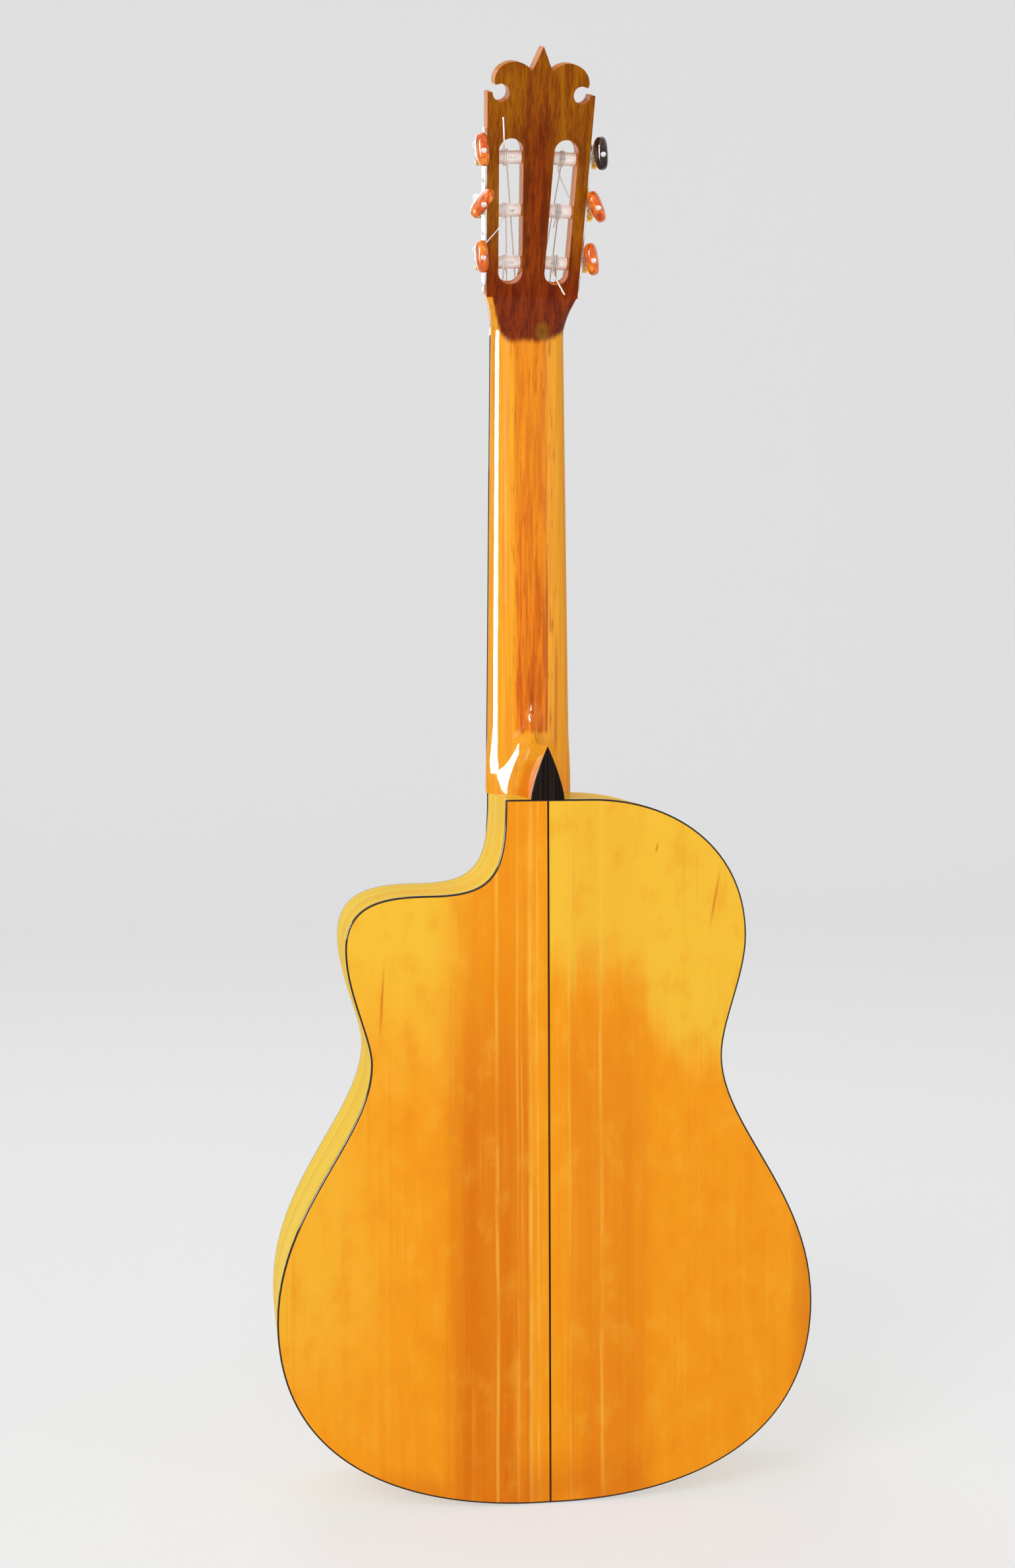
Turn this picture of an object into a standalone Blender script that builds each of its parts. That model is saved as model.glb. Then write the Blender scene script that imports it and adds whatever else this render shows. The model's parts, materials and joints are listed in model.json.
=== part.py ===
"""A flamenco guitar with a cutaway, standing upright.

+Z runs up the neck, the soundboard faces -Y, the back faces +Y and the cutaway is on the +X side.
The origin is on the centre line, where the nut meets the fingerboard, in the soundboard's plane.
"""

import functools
import math

import bmesh
import bpy
from mathutils import Matrix, Vector

# Fits, in metres as everything here is
GLUE_GAP = 0.0003
SPIN_GAP = 0.0003

# Scale and body outline, as half widths and drops below the body's top edge
SCALE_LENGTH = 0.650
JOINT_FRET = 12
BODY_LENGTH = 0.4805
SHOULDER_HALF = 0.0300
UPPER_HALF = 0.1375
UPPER_DROP = 0.0947
WAIST_HALF = 0.1204
WAIST_DROP = 0.1770
LOWER_HALF = 0.1844
LOWER_DROP = 0.3500
TAIL_HALF = 0.0073
CUT_HALF = 0.0289
CUT_LEDGE_X = 0.0800
CUT_LEDGE_DROP = 0.0639
HORN_HALF = 0.1372
HORN_DROP = 0.1000

# How far each curve of the outline runs on towards its handles
SHOULDER_HANDLES = (0.0570, 0.0608)
BACK_TO_WAIST_HANDLES = (0.0277, 0.0236)
HIP_HANDLES = (0.0493, 0.0768)
TAIL_HANDLES = (0.0966, 0.0920)
CUT_HANDLES = (0.0509, 0.0432)
HORN_HANDLES = (0.0292, 0.0332)
HORN_TO_WAIST_HANDLES = (0.0290, 0.0183)

# Body depth and plates
DEPTH_AT_HEEL = 0.0912
DEPTH_AT_TAIL = 0.0960
BACK_ARCH = 0.0030
TOP_THICKNESS = 0.0024
BACK_THICKNESS = 0.0024
RIB_THICKNESS = 0.0020
BINDING_WIDTH = 0.0012
STRIP_HALF = 0.0010
LINING_WIDTH = 0.0055
LINING_HEIGHT = 0.0140
RIB_SLOT_HALF = 0.0090

# Soundhole, rosette and tap plate
HOLE_RADIUS = 0.0425
HOLE_DROP = 0.1530
ROSETTE_INNER = 0.0465
ROSETTE_OUTER = 0.0600
ROSETTE_DEPTH = 0.0009
TAP_THICKNESS = 0.0006
TAP_WIDTH = 0.0420
TAP_DROP = 0.1180
TAP_FROM_ROSETTE = 0.0020
TAP_ARC = (-80.0, 38.0)
TAP_HEM = 0.0120
TAP_NARROWING = 0.6

# Blocks and braces
FOOT_HALF = 0.0180
FOOT_THICKNESS = 0.0250
SLIPPER_LENGTH = 0.0680
SLIPPER_HEIGHT = 0.0100
FOOT_ROUNDING = 0.0060
TAIL_BLOCK_HALF = 0.0350
TAIL_BLOCK_THICKNESS = 0.0120
BAR_WIDTH = 0.0060
BAR_HEIGHT = 0.0150
BAR_FROM_HOLE = 0.0600
BAR_SCOOP = 0.0300
FAN_COUNT = 5
FAN_WIDTH = 0.0050
FAN_HEIGHT = 0.0038
FAN_TOP_SPACING = 0.0230
FAN_SPREAD = 7.0
FAN_LENGTH = 0.1950
BACK_BAR_WIDTH = 0.0080
BACK_BAR_HEIGHT = 0.0150
BACK_BAR_DROPS = (0.0780, 0.1900, 0.3300)

# Neck and fingerboard
NUT_HALF = 0.0259
JOINT_HALF = 0.0297
NECK_DEPTH_AT_NUT = 0.0155
NECK_DEPTH_AT_HEEL = 0.0190
SHAFT_SHARES = (0.75, 0.50, 0.25, 0.075)
SHAFT_SQUARENESS = 2.3
HEAD_STEP = 0.0001
BOARD_AT_NUT = 0.0065
BOARD_AT_END = 0.0052
BOARD_LENGTH = 0.4370
FRET_COUNT = 19
FRET_WIDTH = 0.0020
FRET_SECTION = ((-0.50, 0.0), (-0.28, 0.85), (0.28, 0.85), (0.50, 0.0))
FRET_HEIGHT = 0.0010
NUT_THICKNESS = 0.0055
NUT_STRING_LIFT = 0.0007
NUT_SHOULDER = 0.0028
NUT_CREST = 0.0013

# Heel, whose cap lies in the back's plane
HEEL_CAP_HALF = 0.0113
HEEL_CAP_LENGTH = 0.0357
HEEL_CAP_THICKNESS = 0.0030
HEEL_TOP_EXTRA_HALF = 0.0168
HEEL_TOP_EXTRA_LENGTH = 0.0300
HEEL_FLARE = 0.0110
HEEL_RISE_FLARE = 0.0070
HEEL_START = 0.0070
HEEL_BEND = 0.0180
HEEL_LEVEL = 0.0140
HEEL_DEPTHS = (0.0070, 0.0130, 0.0180, 0.0230, 0.0290, 0.0380, 0.0550)
CAP_FULLNESS = 1.4
HEEL_TOP_FULLNESS = 2.6

# Headstock, leaning back from the nut
HEAD_LEAN = 19.0
HEAD_FRONT = 0.0015
VENEER_THICKNESS = 0.0025
HEAD_THICKNESS = 0.0180
SCARF = 0.0240
SHOULDER_REAR = 0.0186
HEAD_SIDE_LOW = 0.0320
HEAD_SIDE_HIGH = 0.0367
EAR_HEIGHT = 0.1593
EAR_INNER = 0.0333
HOOK_RADIUS = 0.00575
HOOK_X = 0.0276
LOBE_FOOT = 0.1643
LOBE_X = 0.0185
LOBE_HEIGHT = 0.1665
LOBE_RADII = (0.0138, 0.0128)
NOTCH_X = 0.0070
NOTCH_HEIGHT = 0.1738
CREST_HEIGHT = 0.1895
CREST_WAIST = 0.0030
CREST_WAIST_RISE = 0.0090
CREST_FOOT = 0.0046
CREST_FOOT_RISE = 0.0050
NOTCH_LIP = 0.0002
LOBE_TUCK = 0.0006

# Where the shaft bends back towards the head: a height above the nut, the lean there, the depth added
# to the shaft's and how square the section is
NUT_BENDS = (
    (-0.0060, 6.0, 0.0000, 2.4),
    (0.0005, 14.0, 0.0003, 2.5),
)

# How the neck becomes the head: a height above the nut, the shares of the way from the neck's width
# and depth to the head's, and how square the section is
HEAD_SHOULDERS = (
    (0.0000, 0.00, 0.00, 2.6),
    (0.0050, 0.13, 0.41, 3.0),
    (0.0120, 0.36, 0.77, 4.5),
    (0.0180, 0.64, 0.95, 8.0),
    (SCARF, 1.00, 1.00, 16.0),
)

# Slots and the tuners in them
SLOT_WALL = 0.0080
SLOT_WIDTH = 0.0168
SLOT_LOW = 0.0323
SLOT_HIGH = 0.1296
RAMP_LOW = 0.0120
RAMP_DEPTH = 0.0057
RAMP_INSET = 0.0006
RAMP_LIP = 0.0005
CUT_OVERRUN = 0.0040
ROLLER_LOW = 0.0462
ROLLER_PITCH = 0.0351
ROLLERS_PER_SIDE = 3
ROLLER_DEPTH = 0.0110
ROLLER_RADIUS = 0.0045
ROLLER_PLAY = 0.0004
JOURNAL_RADIUS = 0.0030
PIVOT_RADIUS = 0.0024
PIVOT_LENGTH = 0.0060
TENON_RADIUS = 0.0018
PLATE_THICKNESS = 0.0012
PLATE_HALF_HEIGHT = 0.0090
PLATE_OVERHANG = 0.0200
PLATE_END_FULLNESS = 0.8

# Worm drive of one start: the gear turns once for as many turns as it has teeth
GEAR_TEETH = 14
GEAR_PITCH_RADIUS = 0.0049
GEAR_TIP = 0.0005
GEAR_ROOT = 0.0008
GEAR_THICKNESS = 0.0036
GEAR_FROM_PLATE = 0.0017
TOOTH_TIP = 0.24
TOOTH_ROOT = 0.52
WORM_PITCH_RADIUS = 0.0024
WORM_TIP = 0.0005
WORM_ROOT = 0.0008
WORM_TURNS = 2.5
THREAD_TIP = 0.20
THREAD_ROOT = 0.45
THREAD_SINK = 0.0003
THREAD_POINTS = 10
WORM_SHAFT_RADIUS = 0.0013
LUG_THICKNESS = 0.0020
LUG_HALF = 0.0032
LUG_CHAMFER = 0.0018
SHAFT_TIP = 0.0008
BUTTON_LENGTH = 0.0170
BUTTON_HALF_LONG = 0.0110
BUTTON_HALF_SHORT = 0.0045
BUTTON_CLEARANCE = 0.0040
BUTTON_RIVET = 0.0008
RIVET_STEP = 0.0001
BUTTON_SQUARENESS = 3.0
BUTTON_ANGLES = (4.0, -38.0, 6.0, 14.0, 27.0, 9.0)

# Along the button: the share of its length, and of its long and its short half widths
BUTTON_GRIP = (
    (0.00, 0.30, 0.60),
    (0.18, 0.80, 0.95),
    (0.60, 1.00, 0.98),
    (0.90, 0.82, 0.70),
    (1.00, 0.52, 0.40),
)

# Bridge, saddle and strings
SADDLE_COMPENSATION = 0.0015
BRIDGE_HALF = 0.0950
BRIDGE_BLOCK_HALF = 0.0415
BRIDGE_WIDTH = 0.0300
BRIDGE_WING = 0.0030
BRIDGE_HEIGHT = 0.0070
BRIDGE_TIP = 0.0040
BRIDGE_TIP_DRAW = 0.0022
BRIDGE_EDGE = 0.0015
BRIDGE_CHANNEL = 0.0028
BRIDGE_SLOPE_END = 0.0020
BLOCK_STEP = 0.0006
TIE_BLOCK_WIDTH = 0.0125
SADDLE_FROM_EDGE = 0.0078
SADDLE_THICKNESS = 0.0026
SADDLE_SEAT = 0.0025
SADDLE_HALF = 0.0400
SADDLE_CROWN = 0.0008
TIE_HOLE_HEIGHT = 0.0046
TIE_HOLE_RADIUS = 0.0011
TIE_END = 0.0020
STRING_AT_SADDLE = 0.0099
NUT_SPREAD_HALF = 0.0215
SADDLE_SPREAD_HALF = 0.0290
STRING_DIAMETERS = (0.00112, 0.00091, 0.00076, 0.00104, 0.00083, 0.00074)
WINDING_TURNS = 2
LOOP_POINTS = 24
WINDING_GAP = 0.00045
TAIL_STEPS = 2

# How finely round things are cut
BASS_STEPS = (9, 5)
TREBLE_STEPS = (6, 6, 5)
HIP_STEPS = 7
TAIL_END_STEPS = 12
BACK_COLUMNS = 2
ROUND_SIDES = 12
SMALL_SIDES = 8
BUTTON_SIDES = 10
RING_SIDES = 30

UP = Vector((0, 0, 1))
TREBLE = Vector((1, 0, 0))
REAR = Vector((0, 1, 0))


def fret_z(fret):
    """Height of a fret below the nut."""
    return -SCALE_LENGTH * (1 - 2 ** (-fret / 12))


BODY_TOP = fret_z(JOINT_FRET)
HOLE_Z = BODY_TOP - HOLE_DROP
SADDLE_Z = -SCALE_LENGTH - SADDLE_COMPENSATION
BRIDGE_Z = SADDLE_Z + SADDLE_FROM_EDGE


# Objects and materials


def clear_scene():
    for old in list(bpy.data.objects):
        bpy.data.objects.remove(old)


def make_material(name, colour, roughness, metallic=0.0):
    material = bpy.data.materials.new(name)
    material.use_nodes = True
    shader = material.node_tree.nodes["Principled BSDF"]
    shader.inputs["Base Color"].default_value = (*colour, 1.0)
    shader.inputs["Roughness"].default_value = roughness
    shader.inputs["Metallic"].default_value = metallic
    return material


def place(name, mesh, material, parent=None, matrix=None):
    """Puts a mesh into the scene as an object of its own."""
    body = bpy.data.objects.new(name, mesh)
    bpy.context.scene.collection.objects.link(body)
    if not mesh.materials:
        mesh.materials.append(material)
    if matrix is not None:
        body.matrix_world = matrix
    if parent is not None:
        body.parent = parent
    return body


def finished_mesh(name, points, faces, sharp=35.0):
    """A mesh with its faces pointing out, smooth where it is round."""
    mesh = bpy.data.meshes.new(name)
    mesh.from_pydata([tuple(p) for p in points], [], faces)
    shape = bmesh.new()
    shape.from_mesh(mesh)
    bmesh.ops.recalc_face_normals(shape, faces=shape.faces[:])
    shape.to_mesh(mesh)
    shape.free()
    mesh.shade_smooth()
    mesh.set_sharp_from_angle(angle=math.radians(sharp))
    return mesh


def loft_mesh(name, rings, closed=False, sharp=35.0):
    """Joins rings of equally many points in order. An open row of rings gets an end face at each end."""
    count = len(rings[0])
    points = [p for ring in rings for p in ring]
    faces = []
    spans = len(rings) if closed else len(rings) - 1
    for row in range(spans):
        low = row * count
        high = (row + 1) % len(rings) * count
        for i in range(count):
            j = (i + 1) % count
            faces.append((low + i, low + j, high + j, high + i))
    if not closed:
        faces.append(tuple(reversed(range(count))))
        faces.append(tuple(range(len(points) - count, len(points))))
    return finished_mesh(name, points, faces, sharp)


def loft(name, rings, material, closed=False, sharp=35.0):
    return place(name, loft_mesh(name, rings, closed, sharp), material)


def prism(name, outline, low, high, material, sharp=35.0):
    """Extrudes an outline of points from the offset low to the offset high, which are vectors."""
    return loft(name, [[p + low for p in outline], [p + high for p in outline]], material, sharp=sharp)


def circle(centre, first, second, radius, sides, turn=0.0):
    """Points round a centre, starting from the first direction towards the second."""
    points = []
    for step in range(sides):
        angle = turn + 2 * math.pi * step / sides
        points.append(centre + radius * (math.cos(angle) * first + math.sin(angle) * second))
    return points


def cutter(name, rings):
    """A hidden closed shape that cuts others."""
    return place(name, loft_mesh(name, rings), cutter_material())


def cutter_material():
    return bpy.data.materials.get("cutter") or make_material("cutter", (1, 0, 0), 0.5)


def combine(body, other, operation):
    """Adds a Boolean that cuts the other shape from the body, or joins it on."""
    change = body.modifiers.new(operation.lower() + "_" + other.name, "BOOLEAN")
    change.operation = operation
    change.solver = "EXACT"
    change.object = other
    other.hide_render = True
    other.display_type = "WIRE"


# Body outline, as points across and up, round from the treble corner by the tail to the bass corner


def curve(start, leaving, end, arriving, handles, steps):
    """Points after the start of a cubic curve that leaves and arrives along given directions."""
    start = Vector(start)
    end = Vector(end)
    first = start + Vector(leaving) * handles[0]
    second = end + Vector(arriving) * handles[1]
    points = []
    for step in range(1, steps + 1):
        t = step / steps
        s = 1 - t
        points.append(s**3 * start + 3 * s * s * t * first + 3 * s * t * t * second + t**3 * end)
    return points


def waist_to_tail():
    waist = (WAIST_HALF, -WAIST_DROP)
    widest = (LOWER_HALF, -LOWER_DROP)
    hip = curve(waist, (0, -1), widest, (0, 1), HIP_HANDLES, HIP_STEPS)
    tail = (TAIL_HALF, -BODY_LENGTH)
    return hip + curve(widest, (0, -1), tail, (1, 0), TAIL_HANDLES, TAIL_END_STEPS)


def treble_side():
    corner = (CUT_HALF, 0)
    ledge = (CUT_LEDGE_X, -CUT_LEDGE_DROP)
    horn = (HORN_HALF, -HORN_DROP)
    waist = (WAIST_HALF, -WAIST_DROP)
    points = [Vector(corner)]
    points += curve(corner, (0, -1), ledge, (-1, 0), CUT_HANDLES, TREBLE_STEPS[0])
    points += curve(ledge, (1, 0), horn, (0, 1), HORN_HANDLES, TREBLE_STEPS[1])
    points += curve(horn, (0, -1), waist, (0, 1), HORN_TO_WAIST_HANDLES, TREBLE_STEPS[2])
    return points + waist_to_tail()


def bass_side():
    shoulder = (SHOULDER_HALF, 0)
    widest = (UPPER_HALF, -UPPER_DROP)
    waist = (WAIST_HALF, -WAIST_DROP)
    points = [Vector(shoulder)]
    points += curve(shoulder, (1, 0), widest, (0, 1), SHOULDER_HANDLES, BASS_STEPS[0])
    points += curve(widest, (0, -1), waist, (0, 1), BACK_TO_WAIST_HANDLES, BASS_STEPS[1])
    points += waist_to_tail()
    return [Vector((-p.x, p.y)) for p in points]


TREBLE_COUNT = len(treble_side())


@functools.lru_cache(maxsize=None)
def outline(inset=0.0):
    """The closed outline, drawn in by an inset, with the same points whatever the inset."""
    corners = treble_side() + list(reversed(bass_side()))
    drawn = []
    for i, here in enumerate(corners):
        before = (here - corners[i - 1]).normalized()
        after = (corners[(i + 1) % len(corners)] - here).normalized()
        inward = Vector((before.y, -before.x)) + Vector((after.y, -after.x))
        inward.normalize()
        reach = inset / inward.dot(Vector((before.y, -before.x)))
        point = here + inward * reach
        drawn.append(Vector((point.x, point.y + BODY_TOP)))
    return drawn


def side_x(side, z, inset):
    """Half width of the drawn-in outline at a height, on the treble (+1) or the bass (-1) side."""
    points = outline(inset)
    half = points[:TREBLE_COUNT] if side > 0 else list(reversed(points[TREBLE_COUNT:]))
    for upper, lower in zip(half, half[1:]):
        if lower.y <= z <= upper.y:
            share = (z - lower.y) / max(upper.y - lower.y, 1e-9)
            return abs(lower.x + share * (upper.x - lower.x))
    return abs(half[0].x)


def back_y(x, z):
    """The back's outer face: deeper towards the tail, and arched across."""
    depth = DEPTH_AT_HEEL + (DEPTH_AT_TAIL - DEPTH_AT_HEEL) * (BODY_TOP - z) / BODY_LENGTH
    return depth - BACK_ARCH * (x / LOWER_HALF) ** 2


def back_columns(z, side):
    """Where a half of the back has its points across, at a height."""
    near = STRIP_HALF + GLUE_GAP
    far = side_x(side, z, BINDING_WIDTH + GLUE_GAP)
    return [side * (near + (far - near) * i / BACK_COLUMNS) for i in range(BACK_COLUMNS + 1)]


def back_inner(x, z):
    """Just inside the back, whose arch is flat between its columns."""
    columns = [abs(c) for c in back_columns(z, 1 if x > 0 else -1)]
    deep = back_y(x, z)
    for low, high in zip(columns, columns[1:]):
        if low <= abs(x) <= high and high - low > 1e-6:
            share = (abs(x) - low) / (high - low)
            deep = back_y(low, z) * (1 - share) + back_y(high, z) * share
    return deep - BACK_THICKNESS - GLUE_GAP


TOP_INNER = TOP_THICKNESS + GLUE_GAP
LINING_OUTER_INSET = RIB_THICKNESS + GLUE_GAP
LINING_INNER_INSET = LINING_OUTER_INSET + LINING_WIDTH


def at(flat, y):
    return Vector((flat.x, y, flat.y))


def build_bindings(ebony):
    outer = outline()
    inner = outline(BINDING_WIDTH)
    rings = []
    for o, i in zip(outer, inner):
        rings.append([at(o, 0), at(i, 0), at(i, TOP_THICKNESS), at(o, TOP_THICKNESS)])
    loft("top_binding", rings, ebony, closed=True)
    rings = []
    for o, i in zip(outer, inner):
        deep_o = back_y(o.x, o.y)
        deep_i = back_y(i.x, i.y)
        front = [at(o, deep_o - BACK_THICKNESS), at(i, deep_i - BACK_THICKNESS)]
        rings.append(front + [at(i, deep_i), at(o, deep_o)])
    loft("back_binding", rings, ebony, closed=True)


def rib_section(outer, inner):
    front = TOP_THICKNESS + GLUE_GAP
    back_outer = back_inner(outer.x, outer.y)
    back_in = back_inner(inner.x, inner.y)
    return [at(outer, front), at(inner, front), at(inner, back_in), at(outer, back_outer)]


def build_ribs(cypress):
    outer = outline()
    inner = outline(RIB_THICKNESS)
    for name, side in (("rib_treble", 1), ("rib_bass", -1)):
        pairs = list(zip(outer, inner))
        pairs = pairs[:TREBLE_COUNT] if side > 0 else list(reversed(pairs[TREBLE_COUNT:]))
        tucked = Vector((side * RIB_SLOT_HALF, BODY_TOP))
        pairs.insert(0, (tucked, tucked - Vector((0, RIB_THICKNESS))))
        tail_z = BODY_TOP - BODY_LENGTH
        tail = Vector((side * TAIL_HALF, tail_z))
        pairs[-1] = (tail, tail + Vector((0, RIB_THICKNESS)))
        loft(name, [rib_section(o, i) for o, i in pairs], cypress)


def build_linings(cedar):
    outer = outline(LINING_OUTER_INSET)
    seat = outline(LINING_INNER_INSET)
    rings = []
    for o, s in zip(outer, seat):
        rings.append([at(o, TOP_INNER), at(s, TOP_INNER), at(o, LINING_HEIGHT)])
    loft("top_lining", rings[1:-1], cedar)
    rings = []
    for o, s in zip(outer, seat):
        deep_o = back_inner(o.x, o.y)
        deep_s = back_inner(s.x, s.y)
        high = back_inner(o.x, o.y) - LINING_HEIGHT
        rings.append([at(o, deep_o), at(s, deep_s), at(o, high)])
    loft("back_lining", rings[1:-1], cedar)


def build_soundboard(spruce):
    edge = outline(BINDING_WIDTH + GLUE_GAP)
    rings = [[at(p, 0) for p in edge], [at(p, TOP_THICKNESS) for p in edge]]
    board = loft("soundboard", rings, spruce)
    centre = Vector((0, 0, HOLE_Z))
    ends = (-CUT_OVERRUN, TOP_THICKNESS + CUT_OVERRUN)
    hole = [circle(centre + REAR * y, TREBLE, UP, HOLE_RADIUS, RING_SIDES) for y in ends]
    combine(board, cutter("soundhole_cut", hole), "DIFFERENCE")
    channel = washer_rings(
        centre,
        ROSETTE_INNER - GLUE_GAP,
        ROSETTE_OUTER + GLUE_GAP,
        -CUT_OVERRUN,
        ROSETTE_DEPTH + GLUE_GAP,
    )
    groove = place("rosette_groove", loft_mesh("rosette_groove", channel, closed=True), cutter_material())
    combine(board, groove, "DIFFERENCE")


def washer_rings(centre, inner, outer, low, high):
    """Sections of a flat washer about a point, from depth low to depth high along +Y."""
    rings = []
    for step in range(RING_SIDES):
        angle = 2 * math.pi * step / RING_SIDES
        out = math.cos(angle) * TREBLE + math.sin(angle) * UP
        rings.append(
            [
                centre + out * inner + REAR * low,
                centre + out * outer + REAR * low,
                centre + out * outer + REAR * high,
                centre + out * inner + REAR * high,
            ]
        )
    return rings


def build_rosette(inlay):
    centre = Vector((0, 0, HOLE_Z))
    rings = washer_rings(centre, ROSETTE_INNER, ROSETTE_OUTER, 0.0, ROSETTE_DEPTH)
    loft("rosette", rings, inlay, closed=True)


def build_tap_plate(acetate):
    """The thin golpeador on the treble side, hollowed round the rosette."""
    radius = ROSETTE_OUTER + TAP_FROM_ROSETTE
    steps = 9
    low_angle, high_angle = (math.radians(angle) for angle in TAP_ARC)
    inner = []
    for step in range(steps + 1):
        angle = low_angle + (high_angle - low_angle) * step / steps
        inner.append(Vector((radius * math.cos(angle), 0, HOLE_Z + radius * math.sin(angle))))
    outer = []
    for step in range(steps + 1):
        angle = high_angle + (low_angle - high_angle) * step / steps
        reach = radius + TAP_WIDTH * math.cos(TAP_NARROWING * angle)
        outer.append(Vector((reach * math.cos(angle), 0, HOLE_Z + reach * math.sin(angle))))
    bottom = HOLE_Z - TAP_DROP
    outer[-1] = Vector((outer[-2].x - TAP_HEM, 0, bottom))
    outer.append(Vector((inner[0].x, 0, bottom)))
    low = -REAR * (GLUE_GAP + TAP_THICKNESS)
    prism("tap_plate", inner + outer, low, -REAR * GLUE_GAP, acetate)


def build_back(cypress, ebony):
    """Two halves of the back and the dark strip between them."""
    edge = outline(BINDING_WIDTH + GLUE_GAP)
    for name, side in (("back_treble", 1), ("back_bass", -1)):
        half = edge[:TREBLE_COUNT] if side > 0 else list(reversed(edge[TREBLE_COUNT:]))
        rings = []
        for point in half:
            near = side * (STRIP_HALF + GLUE_GAP)
            across = [near + (point.x - near) * i / BACK_COLUMNS for i in range(BACK_COLUMNS + 1)]
            outer = [Vector((x, back_y(x, point.y), point.y)) for x in across]
            inner = [Vector((x, back_y(x, point.y) - BACK_THICKNESS, point.y)) for x in reversed(across)]
            rings.append(outer + inner)
        loft(name, rings, cypress)
    rings = []
    for z in (edge[0].y, edge[TREBLE_COUNT].y):
        deep = back_y(0, z)
        rings.append([Vector((x, y, z)) for x, y in square(STRIP_HALF, deep - BACK_THICKNESS, deep)])
    loft("back_strip", rings, ebony)


def square(half, low, high):
    return ((-half, low), (half, low), (half, high), (-half, high))


def build_tail(ebony, cedar):
    """The graft that closes the ribs at the tail, and the block behind it."""
    tail_z = BODY_TOP - BODY_LENGTH
    half = TAIL_HALF - GLUE_GAP
    low = TOP_THICKNESS + GLUE_GAP
    rings = []
    for z in (tail_z, tail_z + RIB_THICKNESS):
        high = back_inner(half, z)
        rings.append([Vector((x, y, z)) for x, y in square(half, low, high)])
    loft("tail_graft", rings, ebony)
    bottom = tail_z + RIB_THICKNESS + GLUE_GAP + tail_rise(TAIL_BLOCK_HALF)
    low = LINING_HEIGHT + GLUE_GAP
    rings = []
    for z in (bottom, bottom + TAIL_BLOCK_THICKNESS):
        high = back_inner(TAIL_BLOCK_HALF, bottom) - LINING_HEIGHT - GLUE_GAP
        rings.append([Vector((x, y, z)) for x, y in square(TAIL_BLOCK_HALF, low, high)])
    loft("tail_block", rings, cedar)


def tail_rise(x):
    """How far the ribs' inner face has risen above the tail at a half width."""
    inner = outline(RIB_THICKNESS)[:TREBLE_COUNT]
    for upper, lower in zip(inner[-8:], inner[-7:]):
        if lower.x <= x <= upper.x:
            share = (x - lower.x) / (upper.x - lower.x)
            return lower.y + share * (upper.y - lower.y) - inner[-1].y
    return 0.0


def build_foot(cedar):
    """The neck's foot inside the body, with its slipper under the soundboard."""
    top = BODY_TOP - RIB_THICKNESS - GLUE_GAP
    deep = back_inner(FOOT_HALF, top)
    profile = [
        (TOP_INNER, top),
        (deep, top),
        (deep, top - FOOT_THICKNESS + FOOT_ROUNDING),
        (deep - FOOT_ROUNDING, top - FOOT_THICKNESS),
        (TOP_INNER + SLIPPER_HEIGHT + FOOT_ROUNDING, top - FOOT_THICKNESS),
        (TOP_INNER + SLIPPER_HEIGHT, top - FOOT_THICKNESS - FOOT_ROUNDING),
        (TOP_INNER + SLIPPER_HEIGHT * 0.6, top - SLIPPER_LENGTH),
        (TOP_INNER, top - SLIPPER_LENGTH),
    ]
    side = [Vector((0, y, z)) for y, z in profile]
    prism("neck_foot", side, -TREBLE * FOOT_HALF, TREBLE * FOOT_HALF, cedar)


def brace(name, start, end, width, height, base, rise, material, rests=()):
    """A bar along a plate between two flat points, scooped at its ends, bending at where it rests."""
    along = (end - start).normalized()
    across = Vector((-along.y, along.x)) * (width / 2)
    length = (end - start).length
    scoop = min(BAR_SCOOP, length / 4)
    stations = [(0, 0.3), (scoop, 1), (length - scoop, 1), (length, 0.3)]
    for spot in rests:
        stations.append((abs(spot - start.x), 1))
    rings = []
    for reach, share in sorted(stations):
        middle = start + along * reach
        ring = []
        for offset, tall in ((-1, 0), (-1, 0.75), (-0.4, 1), (0.4, 1), (1, 0.75), (1, 0)):
            spot = middle + across * offset
            ring.append(at(spot, base(spot.x, spot.y) + rise * tall * height * share))
        rings.append(ring)
    return loft(name, rings, material)


def clear_half(side, z, width):
    """How far a bar may reach before it meets the linings."""
    inset = LINING_INNER_INSET + GLUE_GAP
    return min(side_x(side, z + shift, inset) for shift in (-width / 2, 0, width / 2))


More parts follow.
